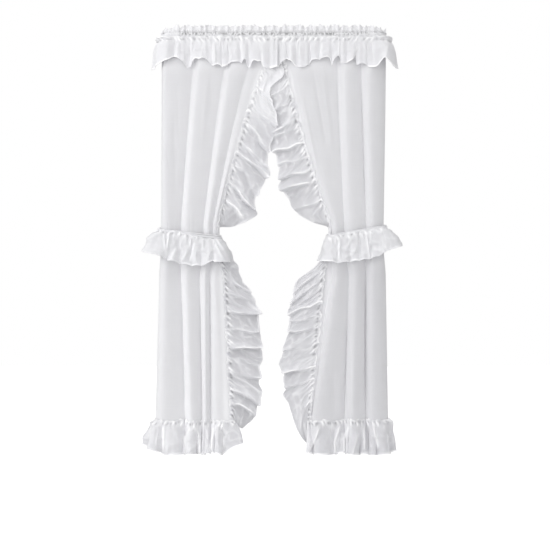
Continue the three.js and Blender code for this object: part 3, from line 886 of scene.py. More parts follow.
def fold_places(curtain, z):
    """Where each fold line stands at heights z: on the rod line at the top, easing to the place where the
    panel comes free, drawn to the tie by a power of the way down, level through the tie, easing to the
    place under it, then straight to the foot. Two arrays, fold by height."""
    folds = curtain.folds
    tie_head, tie_foot = TIE_HEIGHT + TIE_ZONE, TIE_HEIGHT - TIE_ZONE
    free = ease((PANEL_TOP - z) / (PANEL_TOP - FREE_TOP))
    drawn = np.clip((FREE_TOP - z) / (FREE_TOP - tie_head), 0, 1) ** curtain.draw
    spread = ease((tie_foot - z) / (tie_foot - LOW_HEIGHT))
    fallen = np.clip((LOW_HEIGHT - z) / (LOW_HEIGHT - PANEL_FOOT), 0, 1)
    rod_x, rod_y = rod_line(curtain.hand, folds.rod)[:2]

    def place(top, tie, low, foot):
        hung = mix(top[:, None], tie[:, None], drawn)
        return mix(mix(hung, low[:, None], spread), foot[:, None], fallen)

    x = curtain.hand * place(folds.top_x, folds.tie_x, folds.low_x, folds.foot_x)
    y = place(folds.top_y, folds.tie_y, folds.low_y, folds.foot_y)
    return mix(rod_x[:, None], x, free), mix(rod_y[:, None], y, free)


def near_tie(z):
    """1 at the tie, falling to 0 some way over and under it."""
    return bell(z - TIE_HEIGHT, TIE_REACH)


def panel_surface(curtain, t, z):
    """The panel at places t between the fold lines and heights z. Across, a smooth curve through the folds.
    In depth, between two folds, an ease mixed with a power law that is level at the fold that stands out and
    steep at the one that lies back, steeper on the left of a fold than on its right. Creases, dents and the
    tie's crimps are added in depth."""
    xs, ys = fold_places(curtain, z)
    count = len(xs)
    x = spline(t, np.arange(count), xs)
    k = np.clip(np.floor(t).astype(int), 0, count - 2)
    f = (t - k)[:, None]
    back = ys[k + 1] > ys[k]
    powers = (SHADED_POWER, LIT_POWER) if curtain.hand < 0 else (LIT_POWER, SHADED_POWER)
    law = np.where(back, f ** powers[0], 1 - (1 - f) ** powers[1])
    y = mix(ys[k], ys[k + 1], mix(ease(f), law, PINCH))
    away = np.abs(x)
    for *ends, width, rise in zip(*vars(curtain.creases).values()):
        aside, left = crease(away, z, ends, PANEL_FADE, 0)
        y = y - rise * left * bell(aside, width)
    loose = ease((FREE_TOP - z) / SEAM_FADE) * ease((z - FOOT_SEAM) / SEAM_FADE)
    loose = loose * (1 - TIE_PRESS * near_tie(z))
    y = y + loose * PANEL_DENTS.dents(curtain.seed, away, z)
    y = y + loose * PANEL_CREASES.creases(curtain.seed, away, z)
    return x, y + near_tie(z) * TIE_CRIMPS.creases(curtain.seed, t[:, None], z)


def make_panel(curtain, settings):
    """Panel: the folded cloth from under the pocket to the seam of the bottom ruffle. Its mask hem holds
    painted light that lightens the shadows of the cloth in front of it."""
    z = np.linspace(PANEL_TOP, PANEL_FOOT, PANEL_ROWS)
    t = np.linspace(0, len(curtain.folds.rod) - 1, PANEL_POINTS)
    x, y = panel_surface(curtain, t, z)
    run, down = run_along(x.mean(1), y.mean(1)), z[:, None]
    # Painted light: the colour is lightened under the hems of the ruffles in front and beside the side
    # ruffle's frill, where their shadows fall
    under = TOP_PAINTED_LIGHT * ease((down - TOP_GLOW_END) / TOP_GLOW_FADE)
    under = under + TIE_PAINTED_LIGHT * bell(down - TIE_HEIGHT + TIE_GLOW_DROP, TIE_GLOW_HALF)
    beside = SIDE_PAINTED_LIGHT * bell(run[-1] - run - FRILL - SIDE_GLOW_GAP, SIDE_GLOW_HALF)
    thin = curtain.panel_thin * ease((TIE_HEIGHT - down) / PANEL_THIN_FADE)
    grid, uv = grid_of(x.T, y.T, down), grid_of(run, -down)
    name = curtain.name + "_panel_cloth"
    return sheet_object(name, grid, settings.cloth / MM, uv, hem=np.maximum(under, beside), thin=thin)


def panel_edge(curtain, z):
    """The panel's inner edge at heights z: points, and unit vectors along the cloth to the edge and out of
    its front."""
    last = len(curtain.folds.rod) - 1
    xs, ys = panel_surface(curtain, np.array([last - EDGE_STEP, last]), z)
    inwards = unit(np.stack([xs[1] - xs[0], ys[1] - ys[0]]), 0)
    front = np.stack([-curtain.hand * inwards[1], curtain.hand * inwards[0]])
    return xs[1], ys[1], inwards, front


# Headings

# Section of the heading, from the foot of its back over the frill to the foot of its front. out: off the
# rod line, up: height, sway and pit: how much it follows the gathers and the pits, ragged: how much it
# follows the frill's edge.
HEADING_SECTION = table(
    "out up sway pit ragged",
    (-1, -15, 0.6, 0.4, 0),
    (-8, -11, 1.2, 0.6, 0),
    (-8, 8, 1.2, 0.8, 0),
    (-1.4, 14, 1.2, 0.8, 0),
    (-1.4, 18, 2.0, 0.8, 0),
    (-1.4, 30, 5.0, 1.0, 0.6),
    (-1.0, 45, 7.0, 0.8, 1),
    (1.0, 45, 7.0, 0.8, 1),
    (3.0, 32, 5.5, 1.6, 0.65),
    (5.2, 22, 3.0, 3.0, 0.2),
    (4.4, 18, 2.0, 3.0, 0),
    (1.6, 15, 1.2, 1.2, 0),
    (1.6, 13, 1.2, 1.2, 0),
    (7.2, 10.5, 1.2, 2.6, 0),
    (8.6, 7, 1.2, 2.0, 0),
    (8.4, 0, 1.2, 0.9, 0),
    (8, -11, 1.2, 0.6, 0),
    (1, -15, 0.6, 0.4, 0),
)

# Pitch of the gathers, and of the frill's lumps, how far and over which pitch these wander, and the power
# that makes them round
HEADING_PITCH = 27
LUMP_PITCH = 43
LUMP_WANDER = 9
LUMP_WANDER_PITCH = 130
LUMP_POWER = 0.6

# How far the frill's edge rises over its section, and how far it falls between the lumps, in its teeth and
# at the rod's bend
FRILL_RISE = 2
LUMP_FALL = 10
FRILL_TEETH = Form(across=6, down=1, seed=0, height=5, level=5)
BEND_FALL = 10

# Pits along the stitching, darkened by painted shade: its height and half height, where along the rod it
# ends, over which run it fades there, how dark it is by the pits' depth, and how much and where it lies in
# clusters
POCKET_PITS = Form(across=6, down=16, seed=3)
PIT_UP = 9
PIT_HALF = 6
PIT_END = 362
PIT_FADE = 25
PIT_LEVEL = 0.85
PIT_SLOPE = 1.3
PIT_CLUSTERS = Form(across=34, down=1, seed=6, height=1.2, level=0.8)
BARE_SHARE = 0.75

# Cloth of a gathered piece, as a multiple of the length that it is gathered to, and how much of a folded
# edge the whole heading is
FULLNESS = 2
HEADING_HEM = 0.31


def gather(curtain, along):
    """The sway of the heading's gathers."""
    return wave(along + curtain.start, HEADING_PITCH)


def make_heading(curtain, settings):
    """Heading: the folded strip of pocket and frill, carried along the rod line. The gathers sway it, random
    pits with painted shade in them sit along its stitching, and the frill's edge rises and falls in lumps and
    sinks at the bend."""
    along = rod_places(HEADING_POINTS)
    x, y, out_x, out_y = rod_line(curtain.hand, along)
    knots = run_along(HEADING_SECTION.out, HEADING_SECTION.up)
    steps = np.unique(np.concatenate([knots, np.linspace(0, knots[-1], HEADING_STEPS)]))
    columns = vars(HEADING_SECTION).values()
    out, up, sway, pit, ragged = (np.interp(steps, knots, column)[:, None] for column in columns)
    wander = LUMP_WANDER * wave(along, LUMP_WANDER_PITCH)
    lump = np.abs(np.sin(np.pi * (along + curtain.start + wander) / LUMP_PITCH)) ** LUMP_POWER
    fall = LUMP_FALL * (1 - lump) + FRILL_TEETH.dents(curtain.seed, along) + BEND_FALL * bend_share(along)
    pits = POCKET_PITS.creases(curtain.seed, along, up)
    stand = out + sway * gather(curtain, along) + pit * pits
    # Painted shade: dark darkens the colour in the pits along the stitching
    dark = bell(up - PIT_UP, PIT_HALF) * ease(PIT_LEVEL - PIT_SLOPE * pits) * (out > 0)
    dark = dark * ease((PIT_END - along) / PIT_FADE)
    dark = dark * mix(BARE_SHARE, 1, ease(PIT_CLUSTERS.dents(curtain.seed, along)))
    grid = grid_of(x + out_x * stand, y + out_y * stand, up + ragged * (FRILL_RISE - fall))
    uv = grid_of(FULLNESS * along, steps[:, None])
    name = curtain.name + "_heading_cloth"
    return sheet_object(name, grid, settings.cloth / MM, uv, pit=dark, hem=HEADING_HEM)


# Ruffles

# Rows of a ruffle: shares of the frill over the gather line, the power by which the rows below it spread, the
# gap over the hem and shares of the hem's width
FRILL_ROWS = np.array([1, 0.93, 0.75, 0.5, 0.25])
ROW_POWER = 1.15
HEM_GAP = 1
HEM_ROWS = np.array([1, 0.75, 0.5, 0.25, 0.1, 0])

# Run over which the cloth turns into a rolled hem, and the width of the frill's as a share of the lower one's
HEM_TURN = 1.2
FRILL_HEM = 0.3


def hem_share(steps, hem):
    """How much of a hem each step is: 1 on the rolled edges, 0 on the cloth between them."""
    lower = ease((steps - steps[-1] + hem) / HEM_TURN + 0.5)
    upper = ease((steps[0] + FRILL_HEM * hem - steps) / HEM_TURN + 0.5)
    return np.maximum(lower, upper)


def strip_rows(length, settings):
    """Rows of a ruffle, up the narrow frill, down to the hem, and close together on the hem. steps: distance
    from the gather line, share: share of the way to the hem, over: share of the way up the frill, rolled:
    how much of a rolled hem each row is, and its thickness."""
    hem = settings.hem_width / MM
    body = np.linspace(0, 1, RUFFLE_STEPS) ** ROW_POWER * (length - hem - HEM_GAP)
    steps = np.concatenate([-FRILL * FRILL_ROWS, body, length - hem * HEM_ROWS])[:, None]
    rolled = hem_share(steps, hem)
    return SimpleNamespace(
        steps=steps,
        share=np.clip(steps / length, 0, 1),
        over=np.clip(-steps / FRILL, 0, 1),
        rolled=rolled,
        thickness=mix(settings.cloth, settings.hem, rolled) / MM,
    )


# Laid creases: share of the length over which one fades, share of that fade past its ends, half width of the
# painted highlight on its folded edge, how much that highlight is sharper than the crease, and the rise at
# which it is a full one
LAID_FADE = 0.25
LAID_PAST = 0.5
EDGE_HALF = 3.2
EDGE_SHARP = 0.7
EDGE_RISE = 9


def laid_creases(x, z, creases):
    """Creases laid over the cloth, seen from the front: how far the cloth stands out, and how much painted
    highlight its folded edge gets. Each is straight, falls off to its left and right over their widths, and
    fades at its ends. Its highlight is a narrow bell along it, mixed with the whole crease."""
    stand, edge = 0, 0
    for *ends, left, right, rise in zip(*vars(creases).values()):
        aside, kept = crease(x, z, ends, LAID_FADE, LAID_PAST)
        wide = bell(aside, np.where(aside < 0, left, right))
        stand = stand + rise * kept * wide
        # Painted highlight along the crease's folded edge
        sharp = mix(wide, bell(aside, EDGE_HALF), EDGE_SHARP)
        edge = np.maximum(edge, np.clip(rise / EDGE_RISE, 0, 1) * kept * sharp)
    return stand, edge


# Puffs: their pitch along the gather line, half width and half length, the ranges of their places in a pitch,
# of their sizes and of their shifts down from the line, and their seed
PUFF_PITCH = 21
PUFF_HALF = 5.2
PUFF_LONG = 10
PUFF_PLACES = (0.2, 0.8)
PUFF_SIZES = (0.3, 1)
PUFF_SHIFTS = (-4, 7)
PUFF_SEED = 70

# Tight gathers, and the painted shade in the pits between them: how dark it is, how dark by the gathers'
# depth, its half length, and how far it keeps off the puffs
TIGHT_GATHERS = Form(across=6.5, down=50, seed=0)
PIT_PAINTED_SHADE = 0.45
GATHER_PIT_SLOPE = 0.9
GATHER_PIT_LONG = 5
PUFF_CLEAR = 2.5


def gather_line(along, rows, seed, slant, strength=1.0):
    """What shows at a ruffle's gather line. puffs: small swellings that lean across it, one to a pitch,
    uneven in place, size and shift. tight: random tight gathers, between -1 and 1. pits: painted shade in the
    hollows between the puffs."""
    random = np.random.default_rng(seed + PUFF_SEED)
    draws = (PUFF_PLACES, PUFF_SIZES, PUFF_SHIFTS)
    middle, size, shift = [random.uniform(*draw, LATTICE) for draw in draws]
    leant = (along + slant * rows.steps) / PUFF_PITCH
    cell = np.floor(leant).astype(int)
    which = cell % LATTICE
    aside = (leant - cell - middle[which]) * PUFF_PITCH
    puffs = strength * size[which] * bell(aside, PUFF_HALF) * bell(rows.steps - shift[which], PUFF_LONG)
    tight = TIGHT_GATHERS.creases(seed, along, rows.steps)
    # Painted shade in the hollows between the tight gathers, kept off the puffs
    pits = PIT_PAINTED_SHADE * ease(0.5 - GATHER_PIT_SLOPE * tight) * bell(rows.steps, GATHER_PIT_LONG)
    return SimpleNamespace(puffs=puffs, tight=tight, pits=strength * pits * ease(1 - PUFF_CLEAR * puffs))


# Where a rolled hem shows bright, and the painted highlights of bead spots along a frill with their strength
HEM_GAPS = Form(across=28, down=1, seed=5, height=0.9, level=0.7)
FRILL_BEAD_HIGHLIGHTS = Form(across=7, down=1, seed=9, height=1.2, level=0.5)
BEAD_HIGHLIGHT = 0.8


def strip_object(name, grid, along, rows, line, edges, thin=0.0, rim=0.8):
    """The sheet of a ruffle, its cloth measured at the length before it was gathered. Its hem mask lightens
    the rolled hem in parts as folded cloth, and is painted highlight on the puffs, on the given edges and on
    bead spots along the frill. rim: how bright the hem is."""
    hem = rim * rows.rolled * ease(HEM_GAPS.dents(0, along))
    bead_highlights = BEAD_HIGHLIGHT * rows.over * ease(FRILL_BEAD_HIGHLIGHTS.dents(0, along))
    # Painted highlight on the puffs, the given edges and the bead spots, with the lighter rolled hem
    folded = np.maximum(np.maximum(hem, bead_highlights), np.maximum(line.puffs, edges))
    uv = grid_of(FULLNESS * along, rows.steps)
    return sheet_object(name, grid, rows.thickness, uv, hem=folded, pit=line.pits, thin=thin)


# Fans of longer gathers: height, run in which they start, length, the level over which a crest gets a
# painted highlight, and how strong it is
FANS = Form(across=17, down=85, seed=1)
FAN_HEIGHT = 5.5
FAN_START = 14
FAN_LENGTH = 60
FAN_CREST = 0.55
FAN_HIGHLIGHT = 0.7

# Crumples: height, share of the way to the hem at which they are full, and the painted highlights on their
# crests likewise
CRUMPLES = Form(across=24, down=34, seed=2)
CRUMPLE_HEIGHT = 3.6
CRUMPLE_FULL = 0.5
CRUMPLE_CREST = 0.65
CRUMPLE_HIGHLIGHT = 0.5

# Soft swells, and the share of the way to the hem at which they are full
SWELLS = Form(across=30, down=60, seed=4, height=4.0)
SWELL_FULL = 0.6

# Heights of the tight gathers and the puffs, length of the tight gathers, and how much less both are on the
# frill, which has slanted pleats of its own
TIGHT_HEIGHT = 1.5
TIGHT_LENGTH = 13
PUFF_HEIGHT = 6
FRILL_LESS = 0.6
PLEATS = Form(across=9, down=1, seed=3, height=0.8, level=1.3)
PLEAT_SLANT = 9


def crest_share(forms, level):
    """How much of a crest a place is: 0 at the level and under it, 1 at the top."""
    return ease((forms - level) / (1 - level))


def relief(along, rows, line, seed, slant=0.0, strength=1.0):
    """Small forms of a ruffle off its plain surface: tight gathers and puffs at the gather line, longer
    gathers that fan out of it, crumples and swells that grow towards the hem, and a frill of small slanted
    pleats. Also the painted highlights on the crests of the fans and the crumples."""
    below = np.clip(rows.steps, 0, None)
    leant = along + slant * below
    near, far = np.exp(-below / FAN_LENGTH) * ease(below / FAN_START), ease(rows.share / CRUMPLE_FULL)
    fans, crumples = FANS.creases(seed, leant, below), CRUMPLES.creases(seed, leant, below)
    swells = SWELLS.dents(seed, leant, below) * ease(rows.share / SWELL_FULL)
    folds = FAN_HEIGHT * near * fans + CRUMPLE_HEIGHT * far * crumples + swells
    tight = TIGHT_HEIGHT * (1 + line.tight) * np.exp(-np.abs(rows.steps) / TIGHT_LENGTH)
    tight = (1 - FRILL_LESS * rows.over) * (tight + PUFF_HEIGHT * line.puffs)
    pleats = rows.over * PLEATS.creases(seed, along + PLEAT_SLANT * rows.over, rows.over)
    # Painted highlights on the crests of the fans and the crumples
    fan_highlights = FAN_HIGHLIGHT * near * crest_share(fans, FAN_CREST)
    crumple_highlights = CRUMPLE_HIGHLIGHT * far * crest_share(crumples, CRUMPLE_CREST)
    return tight + strength * folds + pleats, strength * np.maximum(fan_highlights, crumple_highlights)


# Top ruffles

# How far the left one laps over the right one at the middle, how far it stands in front of it, and how far
# from the middle both fade out
MIDDLE_LAP = 14
MIDDLE_FRONT = 5
MIDDLE_RUN = 60

# Lobes: width and depth of a full one, share of a full width that still counts for a narrow one, and how far
# they lean, as a share of their depth
TOP_LOBE = 75
TOP_DEPTH = 5
TOP_LEAST = 0.12
TOP_LEAN = 0.8

# Front of the pocket and its sway, how far the hem stands out by its height over a level, and the powers by
# which it rises and stands out on the way down
POCKET_FRONT = 8
POCKET_SWAY = 1.2
LIFT_OUT = 0.1
LIFT_LEVEL = 10
LIFT_POWER = 1.3
OUT_POWER = 0.5

# How far the ruffle springs out at the rod's bend, and in which run from the gather line
BEND_SPRING = 15
SPRING_RUN = 14

# Slant of the puffs, strength of the small forms, the laid creases and the painted highlights on folded edges
# and crests, thinness, and the small teeth of the hem and of the frill
TOP_SLANT = 0.5
TOP_RELIEF = 0.42
TOP_LAID = 0.7
TOP_HIGHLIGHTS = 0.45
TOP_THIN = 0.1
TOP_TEETH = Form(across=11, down=1, seed=5, height=3)
TOP_FRILL = Form(across=8, down=1, seed=4, height=4)


def make_top_ruffle(curtain, settings):
    """Top ruffle: along the rod line, from the frill over the gather line to the hem. The hem follows its
    table, and stands out further where it is lifted. At the rod's bend the ruffle springs out at once."""
    seed = curtain.seed + TOP_SEED
    rows = strip_rows(TOP_SECTION.down[-1], settings)
    along, front = rod_places(TOP_POINTS), 0
    if curtain.hand < 0:
        along = along - MIDDLE_LAP * ease(1 - along / MIDDLE_RUN)
        front = MIDDLE_FRONT * ease(1 - along / MIDDLE_RUN) * rows.share**OUT_POWER
    up = spline(rows.steps[:, 0], TOP_SECTION.down, TOP_SECTION.up)[:, None]
    out = spline(rows.steps[:, 0], TOP_SECTION.down, TOP_SECTION.out)[:, None]
    lift = spline(along, curtain.top_hem.at, curtain.top_hem.z) - TOP_SECTION.up[-1]
    place, width = lobes(along, curtain.valleys.top)
    depth = TOP_DEPTH * lobe_size(width, TOP_LOBE, TOP_LEAST) * rows.share**LOBE_GROWTH
    spring = BEND_SPRING * np.maximum(rows.over, ease(rows.steps / SPRING_RUN))
    spring = bend_share(along) * (spring + curtain.top_out * rows.share**OUT_POWER)
    line = gather_line(along, rows, seed, TOP_SLANT)
    fine, crests = relief(along, rows, line, seed, 0, TOP_RELIEF)
    stand = POCKET_FRONT + POCKET_SWAY * gather(curtain, along) + LAP + out + spring + front
    stand = stand + LIFT_OUT * (lift + LIFT_LEVEL) * rows.share
    stand = stand + depth * (2 * bulge(place, rows.share) - 1) + fine
    shifted = np.minimum(along - TOP_LEAN * depth * lobe_lean(place), ROD_LENGTH)
    x, y, out_x, out_y = rod_line(curtain.hand, shifted)
    lift = (lift + TOP_TEETH.dents(seed, along)) * rows.share**LIFT_POWER
    height = up + lift + rows.over * TOP_FRILL.dents(seed, along)
    laid, edges = laid_creases(x, height, curtain.laid.top)
    stand = stand - TOP_LAID * laid * out_y
    grid = grid_of(x + out_x * stand, y + out_y * stand, height)
    # Painted highlights on the laid creases' folded edges and on the crests of the small forms
    edges = TOP_HIGHLIGHTS * np.maximum(edges, crests)
    return strip_object(curtain.name + "_top_ruffle_cloth", grid, along, rows, line, edges, TOP_THIN)


# Side ruffles

# A lobe at its crease: run of the ramp over it, depth of the turn under it, run of the way back, and run of
# the turn
RAMP_RUN = 26
UNDER_DEPTH = 0.7
UNDER_RUN = 22
TURN_RUN = 15

# Random bends and weak parts of a crease. Their places on the lattice of random heights: across by the
# share of the way to the free edge, then across and down by the crease's depth down the seam. Then how far
# a bend goes, from which share of the way, and the level and the least force of the weak parts.
BEND_PLACES = (2.3, 0.37, 0.61)
WEAK_PLACES = (1.9, 0.53, 0.43)
CREASE_BEND = 10
BEND_FROM = 0.3
WEAK_LEVEL = 0.6
WEAK_LEAST = 0.5

# Folded edge of a crease: how soon it is a full one, and how far it lies over the turn. Then the number that
# the bends and the weak parts add to a seed.
EDGE_FORCE = 1.3
EDGE_UP = 5
SHINGLE_SEED = 7


def crease_dents(share, at, places, seed):
    """Random heights between -1 and 1 along a crease that starts at a depth down the seam."""
    along, across, down = places
    return dents(along * share + across * at, down * at, seed)


def shingles(down, share, creases, seed):
    """Overlapping lobes down a strip: above each crease the cloth stands out in a ramp, at the crease it
    turns under, and below it comes back slowly. Random dents bend each crease and weaken parts of it. Also
    how much of a folded edge the crease is, which the side ruffle raises as a ridge and lightens with a
    painted highlight."""
    total, edge = 0, 0
    for at, rise, slant in zip(*vars(creases).values()):
        bend = CREASE_BEND * crease_dents(share, at, BEND_PLACES, seed) * ease(share / BEND_FROM)
        kept = ease(WEAK_LEVEL + crease_dents(share, at, WEAK_PLACES, seed + 1))
        force = rise * mix(WEAK_LEAST, 1, kept)
        below = down - at - slant * share - bend
        ramp = np.exp(np.minimum(below, 0) / RAMP_RUN)
        under = -UNDER_DEPTH * np.exp(-np.maximum(below, 0) / UNDER_RUN)
        total = total + force * mix(ramp, under, ease(below / TURN_RUN + 0.5))
        # The folded edge: a real ridge in the side ruffle, and a painted highlight in its colour
        sharp = np.minimum(EDGE_FORCE * force, 1) ** 2
        edge = np.maximum(edge, sharp * bell(below + EDGE_UP, EDGE_HALF))
    return total, edge


# Depth of the creases at which a side ruffle has room for all of its small forms, the least share of room,
# and the share of the small forms where there is none
SIDE_ROOM = 9
SIDE_LEAST = 0.12
SIDE_TIGHT = 0.4

# How far the lobes swing out, by which power of the way, and how far they move the free edge inwards and
# down, all as shares of the creases' depth, and the range of lobes that move it down
SIDE_SWING = 1.6
SWING_POWER = 0.6
LOBE_REACH = 0.65
LOBE_DROOP = 0.5
DROOP_RANGE = (-0.3, 1.2)

# Slants of the puffs and of the small forms, strength of the small forms, height of a folded edge, gaps in
# the folded edges and their painted highlights, uneven edges of the frill, the seam and the free side, and
# brightness of its rim
SIDE_PUFF_SLANT = -0.7
SIDE_SLANT = -0.5
SIDE_RELIEF = 0.75
SIDE_EDGE = 5
EDGE_GAPS = Form(across=30, down=38, seed=6, height=1.5, level=0.55)
SIDE_FRILL = Form(across=8, down=1, seed=4, height=4)
SIDE_SEAM = Form(across=26, down=1, seed=3, height=3)
SIDE_WANDER = Form(across=29, down=1, seed=5, height=11)
SIDE_RIM = 0.4

# Near its foot the free edge drops sooner: from which height, in which run, and by which power of the way
END_BEND = -1370
END_RUN = 44
END_POWER = 0.5

# Thinness: runs over which it changes at the tie and sets in, how much less it is on a lobe, and the range of
# lobes that count
TIE_THIN_RUN = 60
SINGLE_RUN = 150
LOBE_SHADE = 0.5
SHADE_RANGE = (-0.45, 1)


def make_side_ruffle(curtain, settings):
    """Side ruffle: down the panel's inner edge, from the frill over the panel to the free edge, with lobes
    that overlap like shingles and lean down. Lobes that stand out let less light through."""
    seed = curtain.seed + SIDE_SEED
    rows = strip_rows(SIDE_LENGTH, settings)
    z = np.linspace(curtain.side.z[0], curtain.side.z[-1], SIDE_POINTS)
    columns = vars(curtain.side).items()
    side = SimpleNamespace(**{name: spline(-z, -curtain.side.z, column) for name, column in columns})
    edge_x, edge_y, inwards, front = panel_edge(curtain, z)
    roomy = np.clip(side.depth / SIDE_ROOM, SIDE_LEAST, 1)
    lobe, edges = shingles(-z, rows.share, curtain.across, seed + SHINGLE_SEED)
    edges = edges * roomy * ease(EDGE_GAPS.dents(seed, z, rows.steps))
    line = gather_line(-z, rows, seed, SIDE_PUFF_SLANT)
    fine, crests = relief(-z, rows, line, seed, SIDE_SLANT, SIDE_RELIEF)
    stand = SIDE_SWING * side.depth * rows.share**SWING_POWER * lobe
    stand = stand + mix(SIDE_TIGHT, 1, roomy) * fine + SIDE_EDGE * edges
    inset = -rows.over * (FRILL + SIDE_FRILL.dents(seed, z) + SIDE_SEAM.dents(seed, z))
    reach = side.reach + roomy * SIDE_WANDER.dents(seed, z) + LOBE_REACH * side.depth * lobe
    x = edge_x + front[0] * LAP + inwards[0] * inset - curtain.hand * rows.share * reach
    y = edge_y + front[1] * LAP + inwards[1] * inset + side.back * rows.share - stand
    droop = side.drop * rows.share ** mix(1, END_POWER, ease((END_BEND - z) / END_RUN))
    droop = droop + LOBE_DROOP * side.depth * rows.share * np.clip(lobe, *DROOP_RANGE)
    thin = mix(curtain.over_thin, curtain.under_thin, ease((TIE_HEIGHT - z) / TIE_THIN_RUN))
    thin = thin * ease((curtain.single - z) / SINGLE_RUN) * (1 - LOBE_SHADE * np.clip(lobe, *SHADE_RANGE))
    name, grid = curtain.name + "_side_ruffle_cloth", grid_of(x, y, z - droop)
    # Painted highlights on the folded edges of the creases and on the crests of the small forms
    return strip_object(name, grid, -z, rows, line, np.maximum(edges, crests), thin, SIDE_RIM)


# Bottom ruffles

# How far the hem stands out in front, and the power by which it does
FOOT_FLARE = 22
FLARE_POWER = 0.9

# Lobes: width of a full one in folds, its depth, share of a full width that still counts, and their lean
FOOT_LOBE = 1.2
FOOT_DEPTH = 15
FOOT_LEAST = 0.3
FOOT_LEAN = 0.5

# The hem's line relaxes from the panel's folds by this share, to a share of their depth, up to a depth
RELAX_SHARE = 0.75
RELAX_DEPTH = 0.45
RELAX_LIMIT = 12.0

# Inner end: its length in folds, and the power by which it reaches inwards
FOOT_END = 0.8
FOOT_END_POWER = 0.4

# Lift of the hem by its lobes and at the outer corner, with their powers, and the small teeth of the hem, the
# wandering of the seam and the teeth of the frill
FOOT_LIFT = 6
FOOT_LIFT_POWER = 1.5
FOOT_RISE_POWER = 1.2
FOOT_TEETH = Form(across=19, down=1, seed=5, height=4)
FOOT_WANDER = Form(across=45, down=1, seed=6, height=4, level=-3)
FOOT_FRILL = Form(across=8, down=1, seed=4, height=4)

# Slant of the puffs, and the strength of the painted highlights on the creases' folded edges and on the
# crests of the small forms
FOOT_SLANT = 0.4
FOOT_HIGHLIGHTS = 0.7
FOOT_CREST_HIGHLIGHT = 0.7


def make_bottom_ruffle(curtain, settings):
    """Bottom ruffle: along the panel's foot, from the frill over the gather line to the hem. Its line
    follows the folds at the gathers and relaxes from them towards the hem, where it stands out."""
    seed = curtain.seed + FOOT_SEED
    rows = strip_rows(FOOT_LENGTH, settings)
    last = len(curtain.folds.rod) - 1
    t, folds = np.linspace(0, last, FOOT_POINTS), np.arange(last + 1)
    x, y = (axis[:, 0] for axis in panel_surface(curtain, t, np.array([FOOT_SEAM])))
    run_x, run_y = -curtain.hand * np.gradient(x), -curtain.hand * np.gradient(y)
    long = np.hypot(run_x, run_y)
    path = np.cumsum(long)
    away_x, away_y = rod_line(curtain.hand, spline(t, folds, curtain.folds.rod))[2:]
    outer = np.abs(away_x)
    place, width = lobes(t, curtain.valleys.foot)
    depth = FOOT_DEPTH * lobe_size(width, FOOT_LOBE, FOOT_LEAST) * rows.share**LOBE_GROWTH
    line = gather_line(path, rows, seed, FOOT_SLANT)
    fine, crests = relief(path, rows, line, seed)
    stand = mix(FOOT_FLARE, curtain.foot_out, outer) * rows.share**FLARE_POWER
    stand = stand + curtain.foot_spring * outer * (1 - rows.over)
    stand = stand + depth * (2 * bulge(place, rows.share) - 1) + fine
    level = RELAX_DEPTH * spline(t, folds, np.minimum(curtain.folds.foot_y, RELAX_LIMIT))
    folded = mix(y, np.where(outer > 0.5, y, level), RELAX_SHARE * rows.share)
    end = ease((t - last) / FOOT_END + 1)
    inner = end * curtain.foot_in * rows.share**FOOT_END_POWER - FOOT_LEAN * depth * lobe_lean(place)
    grid_x = x + run_y / long * LAP + away_x * stand - curtain.hand * inner
    laid, edges = laid_creases(grid_x, FOOT_SEAM - rows.steps, curtain.laid.foot)
    grid_y = folded - run_x / long * LAP + away_y * stand - laid * np.abs(away_y)
    lift = FOOT_LIFT * bulge(place, 1) * rows.share**FOOT_LIFT_POWER
    lift = lift + rows.share * (FOOT_TEETH.dents(seed, path) + curtain.foot_lift * end)
    lift = lift + (1 - rows.share) * FOOT_WANDER.dents(seed, path) + rows.over * FOOT_FRILL.dents(seed, path)
    lift = lift + curtain.foot_rise * outer * rows.share**FOOT_RISE_POWER
    grid = grid_of(grid_x, grid_y, FOOT_SEAM - rows.steps + lift)
    # Painted highlights on the laid creases' folded edges and on the crests of the small forms
    edges = FOOT_HIGHLIGHTS * np.maximum(edges, FOOT_CREST_HIGHLIGHT * crests)
    thin = curtain.foot_thin + curtain.end_thin * end
    return strip_object(curtain.name + "_bottom_ruffle_cloth", grid, path, rows, line, edges, thin)


# Ties


def tie_loop(curtain, count):
    """Evenly spaced places round a tie's loop, which has straight runs and corners rounded by a parabola:
    distance, point, way along, way out, and the other columns of its table between the corners."""
    tie = curtain.tie
    corners = np.stack([curtain.hand * tie.x, tie.y], axis=1)
    before = unit(np.roll(corners, 1, axis=0) - corners, 1) * tie.round[:, None]
    after = unit(np.roll(corners, -1, axis=0) - corners, 1) * tie.round[:, None]
    bend = np.linspace(0, 1, CORNER_POINTS)[None, :, None]
    line = corners[:, None] + before[:, None] * (1 - bend) ** 2 + after[:, None] * bend**2
    line = np.roll(line.reshape(-1, 2), -(CORNER_POINTS // 2), axis=0)
    line = np.concatenate([line, line[:1]])
    run = run_along(*line.T)
    along = np.linspace(0, run[-1], count)

    def at(places):
        return np.stack([np.interp(places % run[-1], run, axis) for axis in line.T], axis=1)

    way = unit(at(along + 1) - at(along - 1), 1)
    out = np.stack([-curtain.hand * way[:, 1], curtain.hand * way[:, 0]], axis=1)
    middles = run[np.arange(len(corners)) * CORNER_POINTS]
    names = ("z", "flare", "drop", "gather", "frill", "roll")
    values = {name: np.interp(along, middles, getattr(tie, name), period=run[-1]) for name in names}
    return SimpleNamespace(along=along, point=at(along), way=way, out=out, **values)


# Tie bands: half height, thickness where it is flat, how much narrower it gets and where, and the power that
# makes its section an oval
BAND_HALF = 9
BAND_THICK = 1.5
BAND_NARROW = 1.2
BAND_NECKS = Form(across=30, down=1, seed=1)
BAND_OVAL = 0.7

